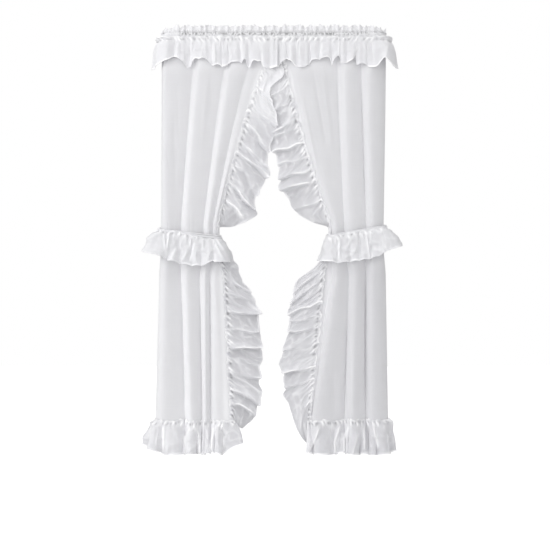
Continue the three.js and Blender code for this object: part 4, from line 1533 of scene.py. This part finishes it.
# Slanted creases of the bands, their height as a share of the thickness, and how far they slant. Then how
# much cloth the section has, as a multiple of the half height by the angle.
BAND_CREASES = Form(across=14, down=12, seed=0, height=0.12)
BAND_SLANT = 2.5
BAND_ROUND = 4

# Painted shade: dark lines between the turns of a rolled band, with their height on it, half width and
# strength. They show from this thickness, and in full after this much more.
BAND_SHADE_LINES = table(
    "up half dark",
    (4.5, 1.3, 0.7),
    (-5.5, 1.5, 0.8),
)
ROLL_FROM = 3
ROLL_RUN = 2


def make_tie_band(curtain, settings):
    """Tie band: a flat roll round the loop, an oval section whose thickness changes on the way and whose
    inner side stays on the loop. Slanted creases run round it, and lines of painted shade where it is rolled."""
    seed = curtain.seed + BAND_SEED
    loop = tie_loop(curtain, TIE_POINTS)
    along, point, out, thick = loop.along[:-1], loop.point[:-1].T, loop.out[:-1].T, loop.roll[:-1]
    angle = np.linspace(0, 2 * np.pi, BAND_STEPS, endpoint=False)[:, None]
    facing = np.cos(angle)
    half = BAND_HALF - BAND_NARROW * BAND_NECKS.dents(seed, along) ** 2
    tall = half * np.sin(angle)
    creases = thick * BAND_CREASES.creases(seed, along + BAND_SLANT * tall, tall) * np.clip(facing, 0, 1)
    oval = np.sign(facing) * np.abs(facing) ** BAND_OVAL
    stand = 0.5 * thick * (1 + oval) - 0.5 * BAND_THICK + creases
    grid = grid_of(point[0] + out[0] * stand, point[1] + out[1] * stand, loop.z[:-1] + tall)
    here = np.arange(grid[..., 0].size).reshape(grid.shape[:2])
    down, right = np.roll(here, -1, axis=0), np.roll(here, -1, axis=1)
    faces = quads(here, right, np.roll(down, -1, axis=1), down)
    if curtain.hand > 0:
        faces = faces[:, ::-1]
    uv = grid_of(along, BAND_ROUND * half * angle).reshape(-1, 2)
    # Painted shade between the turns of the roll, carried in the pit mask
    lines = sum(dark * bell(tall - up, wide) for up, wide, dark in zip(*vars(BAND_SHADE_LINES).values()))
    rolled = ease((thick - ROLL_FROM) / ROLL_RUN) * (facing > 0)
    masks = {"pit": (rolled * lines).ravel()}
    return mesh_object(curtain.name + "_tie_band_cloth", grid.reshape(-1, 3), faces, uv, masks)


# Lobes of the tie ruffles: width of a full one and the share of it that still counts, depth at the band and
# by the flare, greatest depth, and their lean
TIE_LOBE = 60
TIE_LEAST = 0.2
TIE_DEPTH = 2
TIE_DEPTH_BY_FLARE = 0.2
TIE_DEPTH_LIMIT = 8
TIE_LEAN = 0.45

# Flare at which there is room for all small forms, the least share of room, and the share of the small forms
# where there is none
TIE_ROOM = 30
TIE_ROOM_LEAST = 0.1
TIE_TIGHT = 0.4

# How far the ruffle stands off the band, the power by which it flares and how much less that is on the outer
# side, and the run in which it leaves a thick roll
TIE_OFF = 1.2
TIE_FLARE_POWER = 0.7
OUTER_POWER = 0.2
ROLL_LENGTH = 12

# Lift of the hem by its lobes: how far, from which share of a lobe, and the power by which it grows
TIE_LIFT = 7
TIE_LIFT_LEVEL = 0.6
TIE_LIFT_POWER = 1.5

# Slant of the puffs, frill at which they are full and their least strength, strength of the small forms, the
# teeth of the frill, the strength of the painted highlights on creases and crests, and points left out at the
# butt
TIE_SLANT = 0.4
TIE_PUFF_FRILL = 7
TIE_PUFF_LEAST = 0.25
TIE_RELIEF = 1.3
TIE_FRILL = Form(across=6, down=1, seed=4, height=2)
TIE_HIGHLIGHTS = 0.55
TIE_CREST_HIGHLIGHT = 0.6
BUTT_POINTS = 3


def make_tie_ruffle(curtain, settings):
    """Tie ruffle: round the band's loop, from the frill over the gather line to the hem, which stands out
    from the band and hangs below it. Its two ends meet at the back with a small gap."""
    seed = curtain.seed + TIE_SEED
    loop = tie_loop(curtain, TIE_POINTS)
    along = loop.along
    rows = strip_rows(TIE_LENGTH, settings)
    place, width = lobes(along, curtain.valleys.tie)
    size = lobe_size(width, TIE_LOBE, TIE_LEAST)
    roomy = np.clip(loop.flare / TIE_ROOM, TIE_ROOM_LEAST, 1)
    depth = np.minimum(TIE_DEPTH + TIE_DEPTH_BY_FLARE * loop.flare, TIE_DEPTH_LIMIT)
    depth = depth * size * rows.share**LOBE_GROWTH
    outer = np.clip(curtain.hand * loop.out[:, 0], 0, 1)
    line = gather_line(along, rows, seed, TIE_SLANT, np.clip(loop.frill / TIE_PUFF_FRILL, TIE_PUFF_LEAST, 1))
    fine, crests = relief(along, rows, line, seed, 0, TIE_RELIEF)
    stand = 0.5 * BAND_THICK + TIE_OFF + loop.flare * rows.share ** (TIE_FLARE_POWER - OUTER_POWER * outer)
    stand = stand + depth * (2 * bulge(place, rows.share) - 1) + mix(TIE_TIGHT, 1, roomy) * fine
    stand = stand + (loop.roll - BAND_THICK) * np.exp(-np.abs(rows.steps) / ROLL_LENGTH)
    shift = -TIE_LEAN * depth * lobe_lean(place)
    x = loop.point[:, 0] + loop.out[:, 0] * stand + loop.way[:, 0] * shift
    y = loop.point[:, 1] + loop.out[:, 1] * stand + loop.way[:, 1] * shift
    rise = rows.over * (loop.frill + TIE_FRILL.dents(seed, along)) - loop.gather
    fall = rows.share * (loop.drop - loop.gather)
    lift = TIE_LIFT * size * roomy * (bulge(place, 1) - TIE_LIFT_LEVEL) * rows.share**TIE_LIFT_POWER
    height = loop.z + rise - fall + lift
    front = np.clip(-loop.out[:, 1], 0, 1)
    laid, edges = laid_creases(x, height, curtain.laid.tie)
    # Painted highlights on the laid creases' folded edges at the front and on the crests of the small forms
    edges = TIE_HIGHLIGHTS * np.maximum(edges * front, TIE_CREST_HIGHLIGHT * crests)
    grid = grid_of(x, y - laid * front, height)
    keep = slice(BUTT_POINTS, -BUTT_POINTS)
    line = SimpleNamespace(puffs=line.puffs[:, keep], pits=line.pits[:, keep])
    name = curtain.name + "_tie_ruffle_cloth"
    return strip_object(name, grid[:, keep], along[keep], rows, line, edges[:, keep])


# Finishes

# Weave: scale of the slubs and how much they are drawn out, scale of the soft patches, detail of both, and
# the share of the crossed threads in the height
SLUB_SCALE = 240.0
SLUB_DRAW = 0.06
PATCH_SCALE = 14.0
NOISE_DETAIL = 2.0
THREAD_SHARE = 0.5

# Stitches: pitch, half width, and the share of the pitch that shows thread
STITCH_PITCH = 4.5 * MM
STITCH_HALF = 0.5 * MM
STITCH_SHARE = 0.7

# Tones as shares of a cloth's colour: the dark and the bright of the weave, and the bright of the hem mask,
# which lightens folded cloth and is painted highlight on crests, puffs and beads and painted light on the
# panels
WEAVE_DARK = 0.965
WEAVE_BRIGHT = 1.03
FOLD_AND_HIGHLIGHT_BRIGHT = 1.13

# Bump of the weave, least roughness and its range, sheen, gloss, and the share of the passing light that a
# folded edge keeps back
BUMP_STRENGTH = 0.35
BUMP_DISTANCE = 0.12 * MM
ROUGH_LEAST = 0.8
ROUGH_RANGE = 0.12
SHEEN = 0.12
SHEEN_ROUGH = 0.5
GLOSS = 0.2
EDGE_KEEPS = 0.85


def new_node(tree, kind, **values):
    """A new node with its plain values set by socket name."""
    node = tree.nodes.new(kind)
    for name, value in values.items():
        node.inputs[name.replace("_", " ")].default_value = value
    return node


def feed(tree, socket, value):
    """Links a socket to another one, or sets it to a plain value."""
    if isinstance(value, bpy.types.NodeSocket):
        tree.links.new(value, socket)
    else:
        socket.default_value = value


def math_node(tree, operation, *values):
    """A Math node fed by sockets or numbers. Returns its output."""
    node = tree.nodes.new("ShaderNodeMath")
    node.operation = operation
    for socket, value in zip(node.inputs, values):
        feed(tree, socket, value)
    return node.outputs[0]


def mix_colour(tree, share, first, second):
    """A Mix node from one colour to another, each a socket or a plain colour. Returns its output."""
    node = tree.nodes.new("ShaderNodeMix")
    node.data_type = "RGBA"
    for name, value in (("Factor", share), ("A", first), ("B", second)):
        feed(tree, node.inputs[name], value)
    return node.outputs["Result"]


def tone(colour, share):
    """An opaque colour of some share of another's brightness."""
    return (*(min(1.0, share * c) for c in colour), 1)


def mask_of(tree, name):
    """The output of one of the mesh's masks."""
    node = tree.nodes.new("ShaderNodeAttribute")
    node.attribute_name = name
    return node.outputs["Fac"]


def start_group(name, values, results):
    """A new shader node group that takes the cloth's coordinates and named values, and gives named results.
    Returns it with what it is given, the sockets of its results and the coordinates apart."""
    group = bpy.data.node_groups.new(name, "ShaderNodeTree")
    sockets = group.interface
    sockets.new_socket("Cloth", in_out="INPUT", socket_type="NodeSocketVector")
    for value in values:
        sockets.new_socket(value, in_out="INPUT", socket_type="NodeSocketFloat")
    for result in results:
        sockets.new_socket(result, in_out="OUTPUT", socket_type="NodeSocketFloat")
    given = group.nodes.new("NodeGroupInput").outputs
    parts = group.nodes.new("ShaderNodeSeparateXYZ")
    group.links.new(given["Cloth"], parts.inputs[0])
    return group, given, group.nodes.new("NodeGroupOutput").inputs, parts.outputs


def weave_group():
    """Node group of a plain weave: two crossed waves of threads, thick and thin slubs, and soft patches."""
    group = bpy.data.node_groups.get("plain_weave")
    if group:
        return group
    group, given, results, cloth = start_group("plain_weave", ("Thread",), ("Height", "Shade"))
    turn = math_node(group, "DIVIDE", 2 * np.pi, given["Thread"])
    warp = math_node(group, "SINE", math_node(group, "MULTIPLY", cloth["X"], turn))
    weft = math_node(group, "SINE", math_node(group, "MULTIPLY", cloth["Y"], turn))
    crossed = math_node(group, "MULTIPLY", warp, weft)

    def noise(scale, stretch):
        mapping = new_node(group, "ShaderNodeMapping", Scale=stretch)
        texture = new_node(group, "ShaderNodeTexNoise", Scale=scale, Detail=NOISE_DETAIL)
        group.links.new(given["Cloth"], mapping.inputs["Vector"])
        group.links.new(mapping.outputs["Vector"], texture.inputs["Vector"])
        return texture.outputs["Fac"]

    warp_slub = noise(SLUB_SCALE, (1.0, SLUB_DRAW, 1.0))
    weft_slub = noise(SLUB_SCALE, (SLUB_DRAW, 1.0, 1.0))
    patches = noise(PATCH_SCALE, (1.0, 1.0, 1.0))
    slubs = math_node(group, "ADD", warp_slub, weft_slub)
    threads = math_node(group, "MULTIPLY", crossed, THREAD_SHARE)
    group.links.new(math_node(group, "ADD", threads, slubs), results["Height"])
    shade = math_node(group, "MULTIPLY", math_node(group, "ADD", slubs, patches), 0.5)
    group.links.new(shade, results["Shade"])
    return group


def stitch_group():
    """Node group of a line of running stitches along the gather line: a mask that is 1 on each thread."""
    group = bpy.data.node_groups.get("running_stitch")
    if group:
        return group
    group, given, results, cloth = start_group("running_stitch", ("Pitch", "Width"), ("Stitch",))
    on_line = math_node(group, "LESS_THAN", math_node(group, "ABSOLUTE", cloth["Y"]), given["Width"])
    along = math_node(group, "FRACT", math_node(group, "DIVIDE", cloth["X"], given["Pitch"]))
    on_thread = math_node(group, "LESS_THAN", along, STITCH_SHARE)
    group.links.new(math_node(group, "MULTIPLY", on_line, on_thread), results["Stitch"])
    return group


def group_node(tree, group, cloth, **values):
    """A node group fed with the cloth's coordinates and plain values. Returns its outputs."""
    node = tree.nodes.new("ShaderNodeGroup")
    node.node_tree = group
    tree.links.new(cloth, node.inputs["Cloth"])
    for name, value in values.items():
        node.inputs[name].default_value = value
    return node.outputs


def cloth_material(name, colour, see_through, settings):
    """White cloth: a plain weave in bump and tint, brighter folded edges that are partly painted highlight
    and painted light, painted shade in the pits, stitches on the gather lines, and some light passing
    through.
    Less of it passes where the cloth is seen aslant and on folded edges, and more where it is thin."""
    material = bpy.data.materials.get(name)
    if material:
        return material
    material = bpy.data.materials.new(name)
    material.use_nodes = True
    tree = material.node_tree
    links = tree.links
    tree.nodes.clear()
    output = tree.nodes.new("ShaderNodeOutputMaterial")
    cloth = tree.nodes.new("ShaderNodeUVMap")
    cloth.uv_map = "cloth"
    weave = group_node(tree, weave_group(), cloth.outputs["UV"], Thread=settings.thread)
    stitch = group_node(tree, stitch_group(), cloth.outputs["UV"], Pitch=STITCH_PITCH, Width=STITCH_HALF)
    folded, pit, thin = (mask_of(tree, mask) for mask in ("hem", "pit", "thin"))
    base = mix_colour(tree, weave["Shade"], tone(colour, WEAVE_DARK), tone(colour, WEAVE_BRIGHT))
    # Partly painted highlight and painted light: the hem mask lightens the colour of folded cloth, crests,
    # puffs, beads, and the panels where cloth in front shades them
    base = mix_colour(tree, folded, base, tone(colour, FOLD_AND_HIGHLIGHT_BRIGHT))
    # Painted shade: the pit mask darkens the colour in the pits between gathers and between a tie band's
    # turns
    base = mix_colour(tree, pit, base, tone(colour, settings.painted_pit_shade))
    bump = new_node(tree, "ShaderNodeBump", Strength=BUMP_STRENGTH, Distance=BUMP_DISTANCE)
    links.new(math_node(tree, "ADD", weave["Height"], stitch["Stitch"]), bump.inputs["Height"])
    rough = math_node(tree, "ADD", math_node(tree, "MULTIPLY", weave["Shade"], ROUGH_RANGE), ROUGH_LEAST)
    surface = new_node(
        tree, "ShaderNodeBsdfPrincipled",
        Sheen_Weight=SHEEN, Sheen_Roughness=SHEEN_ROUGH, Specular_IOR_Level=GLOSS,
    )
    through = tree.nodes.new("ShaderNodeBsdfTranslucent")
    links.new(base, surface.inputs["Base Color"])
    links.new(base, through.inputs["Color"])
    links.new(rough, surface.inputs["Roughness"])
    for shader in (surface, through):
        links.new(bump.outputs["Normal"], shader.inputs["Normal"])
    facing = new_node(tree, "ShaderNodeLayerWeight", Blend=0.5)
    sheer = new_node(tree, "ShaderNodeMapRange", To_Min=see_through, To_Max=see_through * settings.aslant)
    links.new(facing.outputs["Facing"], sheer.inputs["Value"])
    more = math_node(tree, "MULTIPLY", thin, settings.thin_more)
    passed = math_node(tree, "ADD", sheer.outputs["Result"], more)
    single = math_node(tree, "SUBTRACT", 1.0, math_node(tree, "MULTIPLY", folded, EDGE_KEEPS))
    both = tree.nodes.new("ShaderNodeMixShader")
    links.new(math_node(tree, "MULTIPLY", passed, single), both.inputs["Fac"])
    links.new(surface.outputs[0], both.inputs[1])
    links.new(through.outputs[0], both.inputs[2])
    links.new(both.outputs[0], output.inputs["Surface"])
    return material


# Pieces


def make_pair(kind, maker, slot, sewn_to):
    settings = bpy.context.scene.curtain_settings
    cloth = slot.removesuffix("_cloth")
    colour, through = getattr(settings, cloth + "_colour"), getattr(settings, cloth + "_through")
    for curtain in CURTAINS:
        piece = maker(curtain, settings)
        piece.data.materials.append(cloth_material(cloth + "_weave", colour, through, settings))
        node, rests_on = curtain.name + "_" + kind, [curtain.name + "_" + sewn_to]
        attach(piece, "root")
        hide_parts(node)


class CURTAINS_OT_headings(bpy.types.Operator):
    """Make the rod pockets with their frills"""

    bl_idname = "curtains.headings"
    bl_label = "Headings"

    def execute(self, context):
        make_pair("heading", make_heading, "panel_cloth", "panel")
        return {"FINISHED"}


class CURTAINS_OT_panels(bpy.types.Operator):
    """Make the folded panels"""

    bl_idname = "curtains.panels"
    bl_label = "Panels"

    def execute(self, context):
        make_pair("panel", make_panel, "panel_cloth", "heading")
        return {"FINISHED"}


class CURTAINS_OT_top_ruffles(bpy.types.Operator):
    """Make the ruffles under the pockets"""

    bl_idname = "curtains.top_ruffles"
    bl_label = "Top ruffles"

    def execute(self, context):
        make_pair("top_ruffle", make_top_ruffle, "ruffle_cloth", "heading")
        return {"FINISHED"}


class CURTAINS_OT_side_ruffles(bpy.types.Operator):
    """Make the ruffles along the inner edges"""

    bl_idname = "curtains.side_ruffles"
    bl_label = "Side ruffles"

    def execute(self, context):
        make_pair("side_ruffle", make_side_ruffle, "ruffle_cloth", "panel")
        return {"FINISHED"}


class CURTAINS_OT_bottom_ruffles(bpy.types.Operator):
    """Make the ruffles along the feet"""

    bl_idname = "curtains.bottom_ruffles"
    bl_label = "Bottom ruffles"

    def execute(self, context):
        make_pair("bottom_ruffle", make_bottom_ruffle, "ruffle_cloth", "panel")
        return {"FINISHED"}


class CURTAINS_OT_tie_bands(bpy.types.Operator):
    """Make the bands of the ties"""

    bl_idname = "curtains.tie_bands"
    bl_label = "Tie bands"

    def execute(self, context):
        make_pair("tie_band", make_tie_band, "tie_cloth", "panel")
        return {"FINISHED"}


class CURTAINS_OT_tie_ruffles(bpy.types.Operator):
    """Make the ruffles of the ties"""

    bl_idname = "curtains.tie_ruffles"
    bl_label = "Tie ruffles"

    def execute(self, context):
        make_pair("tie_ruffle", make_tie_ruffle, "tie_cloth", "tie_band")
        return {"FINISHED"}


# Stage

# Places and sizes of the two lamps, in metres
KEY_PLACE = (-2.9, -2.8, 0.0)
KEY_SIZE = 2.8
FILL_PLACE = (0.3, -4.3, -1.4)
FILL_SIZE = 2.4

# The floor: half its side, points along it, its grey, its roughness and its own light
FLOOR_HALF = 9.0
FLOOR_POINTS = 9
FLOOR_GREY = 0.7
FLOOR_ROUGH = 0.9
FLOOR_LIGHT = 0.7

# The even light: where, from -1 in front to 1 behind, it starts to fade to what comes from behind and ends,
# and its shares from below and from above
FADE_START = -0.7
FADE_END = 0.15
BELOW_SHARE = 0.7
ABOVE_SHARE = 1.3

# Width of the camera's sensor in millimetres
SENSOR = 36.0


def area_light(name, place, target, size, power):
    """A square soft light at a place, turned to a target."""
    data = bpy.data.lights.new(name, "AREA")
    data.shape = "SQUARE"
    data.size = size
    data.energy = power
    lamp = bpy.data.objects.new(name, data)
    bpy.context.scene.collection.objects.link(lamp)
    lamp.location = place
    lamp.rotation_euler = (lamp.location - Vector(target)).to_track_quat("Z", "Y").to_euler()


def make_floor(height):
    """A wide level floor that only the camera sees: a square grid of points at one height."""
    side = np.linspace(-FLOOR_HALF, FLOOR_HALF, FLOOR_POINTS)
    points = grid_of(*np.meshgrid(side, side), height).reshape(-1, 3)
    number = np.arange(FLOOR_POINTS**2).reshape(FLOOR_POINTS, FLOOR_POINTS)
    faces = quads(number[:-1, :-1], number[:-1, 1:], number[1:, 1:], number[1:, :-1])
    mesh = bpy.data.meshes.new("floor")
    mesh.from_pydata(points.tolist(), [], faces.tolist())
    floor = bpy.data.objects.new("floor", mesh)
    bpy.context.scene.collection.objects.link(floor)
    material = bpy.data.materials.new("pale_floor")
    material.use_nodes = True
    surface = material.node_tree.nodes["Principled BSDF"]
    surface.inputs["Base Color"].default_value = (FLOOR_GREY, FLOOR_GREY, FLOOR_GREY, 1)
    surface.inputs["Roughness"].default_value = FLOOR_ROUGH
    surface.inputs["Emission Color"].default_value = (1, 1, 1, 1)
    surface.inputs["Emission Strength"].default_value = FLOOR_LIGHT
    mesh.materials.append(material)
    floor.visible_diffuse = False
    floor.visible_glossy = False
    floor.visible_transmission = False
    floor.visible_shadow = False


def make_room_light(room, behind):
    """An even white room: plain white where the camera looks into it. As a light, it fades from the front to
    what comes from behind, and from above to below."""
    world = bpy.data.worlds.new("room")
    bpy.context.scene.world = world
    world.use_nodes = True
    tree = world.node_tree
    links = tree.links
    tree.nodes.clear()
    output = tree.nodes.new("ShaderNodeOutputWorld")
    seen = new_node(tree, "ShaderNodeBackground", Color=(1, 1, 1, 1), Strength=1.0)
    lit = new_node(tree, "ShaderNodeBackground", Color=(1, 1, 1, 1))
    way = tree.nodes.new("ShaderNodeTexCoord")
    parts = tree.nodes.new("ShaderNodeSeparateXYZ")
    links.new(way.outputs["Generated"], parts.inputs[0])
    fade = new_node(
        tree, "ShaderNodeMapRange", From_Min=FADE_START, From_Max=FADE_END, To_Min=room, To_Max=behind
    )
    links.new(parts.outputs["Y"], fade.inputs["Value"])
    above = new_node(
        tree, "ShaderNodeMapRange", From_Min=-1.0, From_Max=1.0, To_Min=BELOW_SHARE, To_Max=ABOVE_SHARE
    )
    links.new(parts.outputs["Z"], above.inputs["Value"])
    strength = math_node(tree, "MULTIPLY", fade.outputs["Result"], above.outputs["Result"])
    links.new(strength, lit.inputs["Strength"])
    path = tree.nodes.new("ShaderNodeLightPath")
    either = tree.nodes.new("ShaderNodeMixShader")
    links.new(path.outputs["Is Camera Ray"], either.inputs["Fac"])
    links.new(lit.outputs[0], either.inputs[1])
    links.new(seen.outputs[0], either.inputs[2])
    links.new(either.outputs[0], output.inputs["Surface"])


class CURTAINS_OT_stage(bpy.types.Operator):
    """Make the floor, the lights and the camera"""

    bl_idname = "curtains.stage"
    bl_label = "Stage"

    def execute(self, context):
        stage = context.scene.stage_settings
        make_floor(stage.floor)
        make_room_light(stage.room, stage.behind)
        target = (0, 0, stage.view_z)
        area_light("key", KEY_PLACE, target, KEY_SIZE, stage.key)
        area_light("fill", FILL_PLACE, target, FILL_SIZE, stage.fill)
        data = bpy.data.cameras.new("camera")
        data.sensor_width = SENSOR
        data.lens = SENSOR * stage.distance / stage.view_width
        camera = bpy.data.objects.new("camera", data)
        context.scene.collection.objects.link(camera)
        camera.location = (stage.view_x, -stage.distance, stage.view_z)
        camera.rotation_euler = (np.pi / 2, 0, 0)
        context.scene.camera = camera
        context.scene.view_settings.view_transform = "Standard"
        return {"FINISHED"}


OPERATORS = (
    CURTAINS_OT_stage,
    CURTAINS_OT_headings,
    CURTAINS_OT_panels,
    CURTAINS_OT_top_ruffles,
    CURTAINS_OT_side_ruffles,
    CURTAINS_OT_bottom_ruffles,
    CURTAINS_OT_tie_bands,
    CURTAINS_OT_tie_ruffles,
)


class CURTAINS_PT_sidebar(bpy.types.Panel):
    """Lists the settings and the pieces"""

    bl_idname = "CURTAINS_PT_sidebar"
    bl_label = "Ruffled curtains"
    bl_space_type = "VIEW_3D"
    bl_region_type = "UI"
    bl_category = "Curtains"

    def draw(self, context):
        for settings in (context.scene.curtain_settings, context.scene.stage_settings):
            for name in settings.__annotations__:
                self.layout.prop(settings, name)
        for operator in OPERATORS:
            self.layout.operator(operator.bl_idname)


CLASSES = (CurtainSettings, StageSettings, *OPERATORS, CURTAINS_PT_sidebar)


def register():
    """Registers the classes and the scene's settings."""
    for each in CLASSES:
        bpy.utils.register_class(each)
    bpy.types.Scene.curtain_settings = bpy.props.PointerProperty(type=CurtainSettings)
    bpy.types.Scene.stage_settings = bpy.props.PointerProperty(type=StageSettings)


def unregister():
    """Takes the settings and the classes away again."""
    del bpy.types.Scene.stage_settings
    del bpy.types.Scene.curtain_settings
    for each in reversed(CLASSES):
        bpy.utils.unregister_class(each)


def main():
    """Makes the stage and every piece."""
    register()
    bpy.ops.curtains.stage()
    bpy.ops.curtains.headings()
    bpy.ops.curtains.panels()
    bpy.ops.curtains.top_ruffles()
    bpy.ops.curtains.side_ruffles()
    bpy.ops.curtains.bottom_ruffles()
    bpy.ops.curtains.tie_bands()
    bpy.ops.curtains.tie_ruffles()
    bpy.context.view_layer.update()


if __name__ == "__main__":
    main()
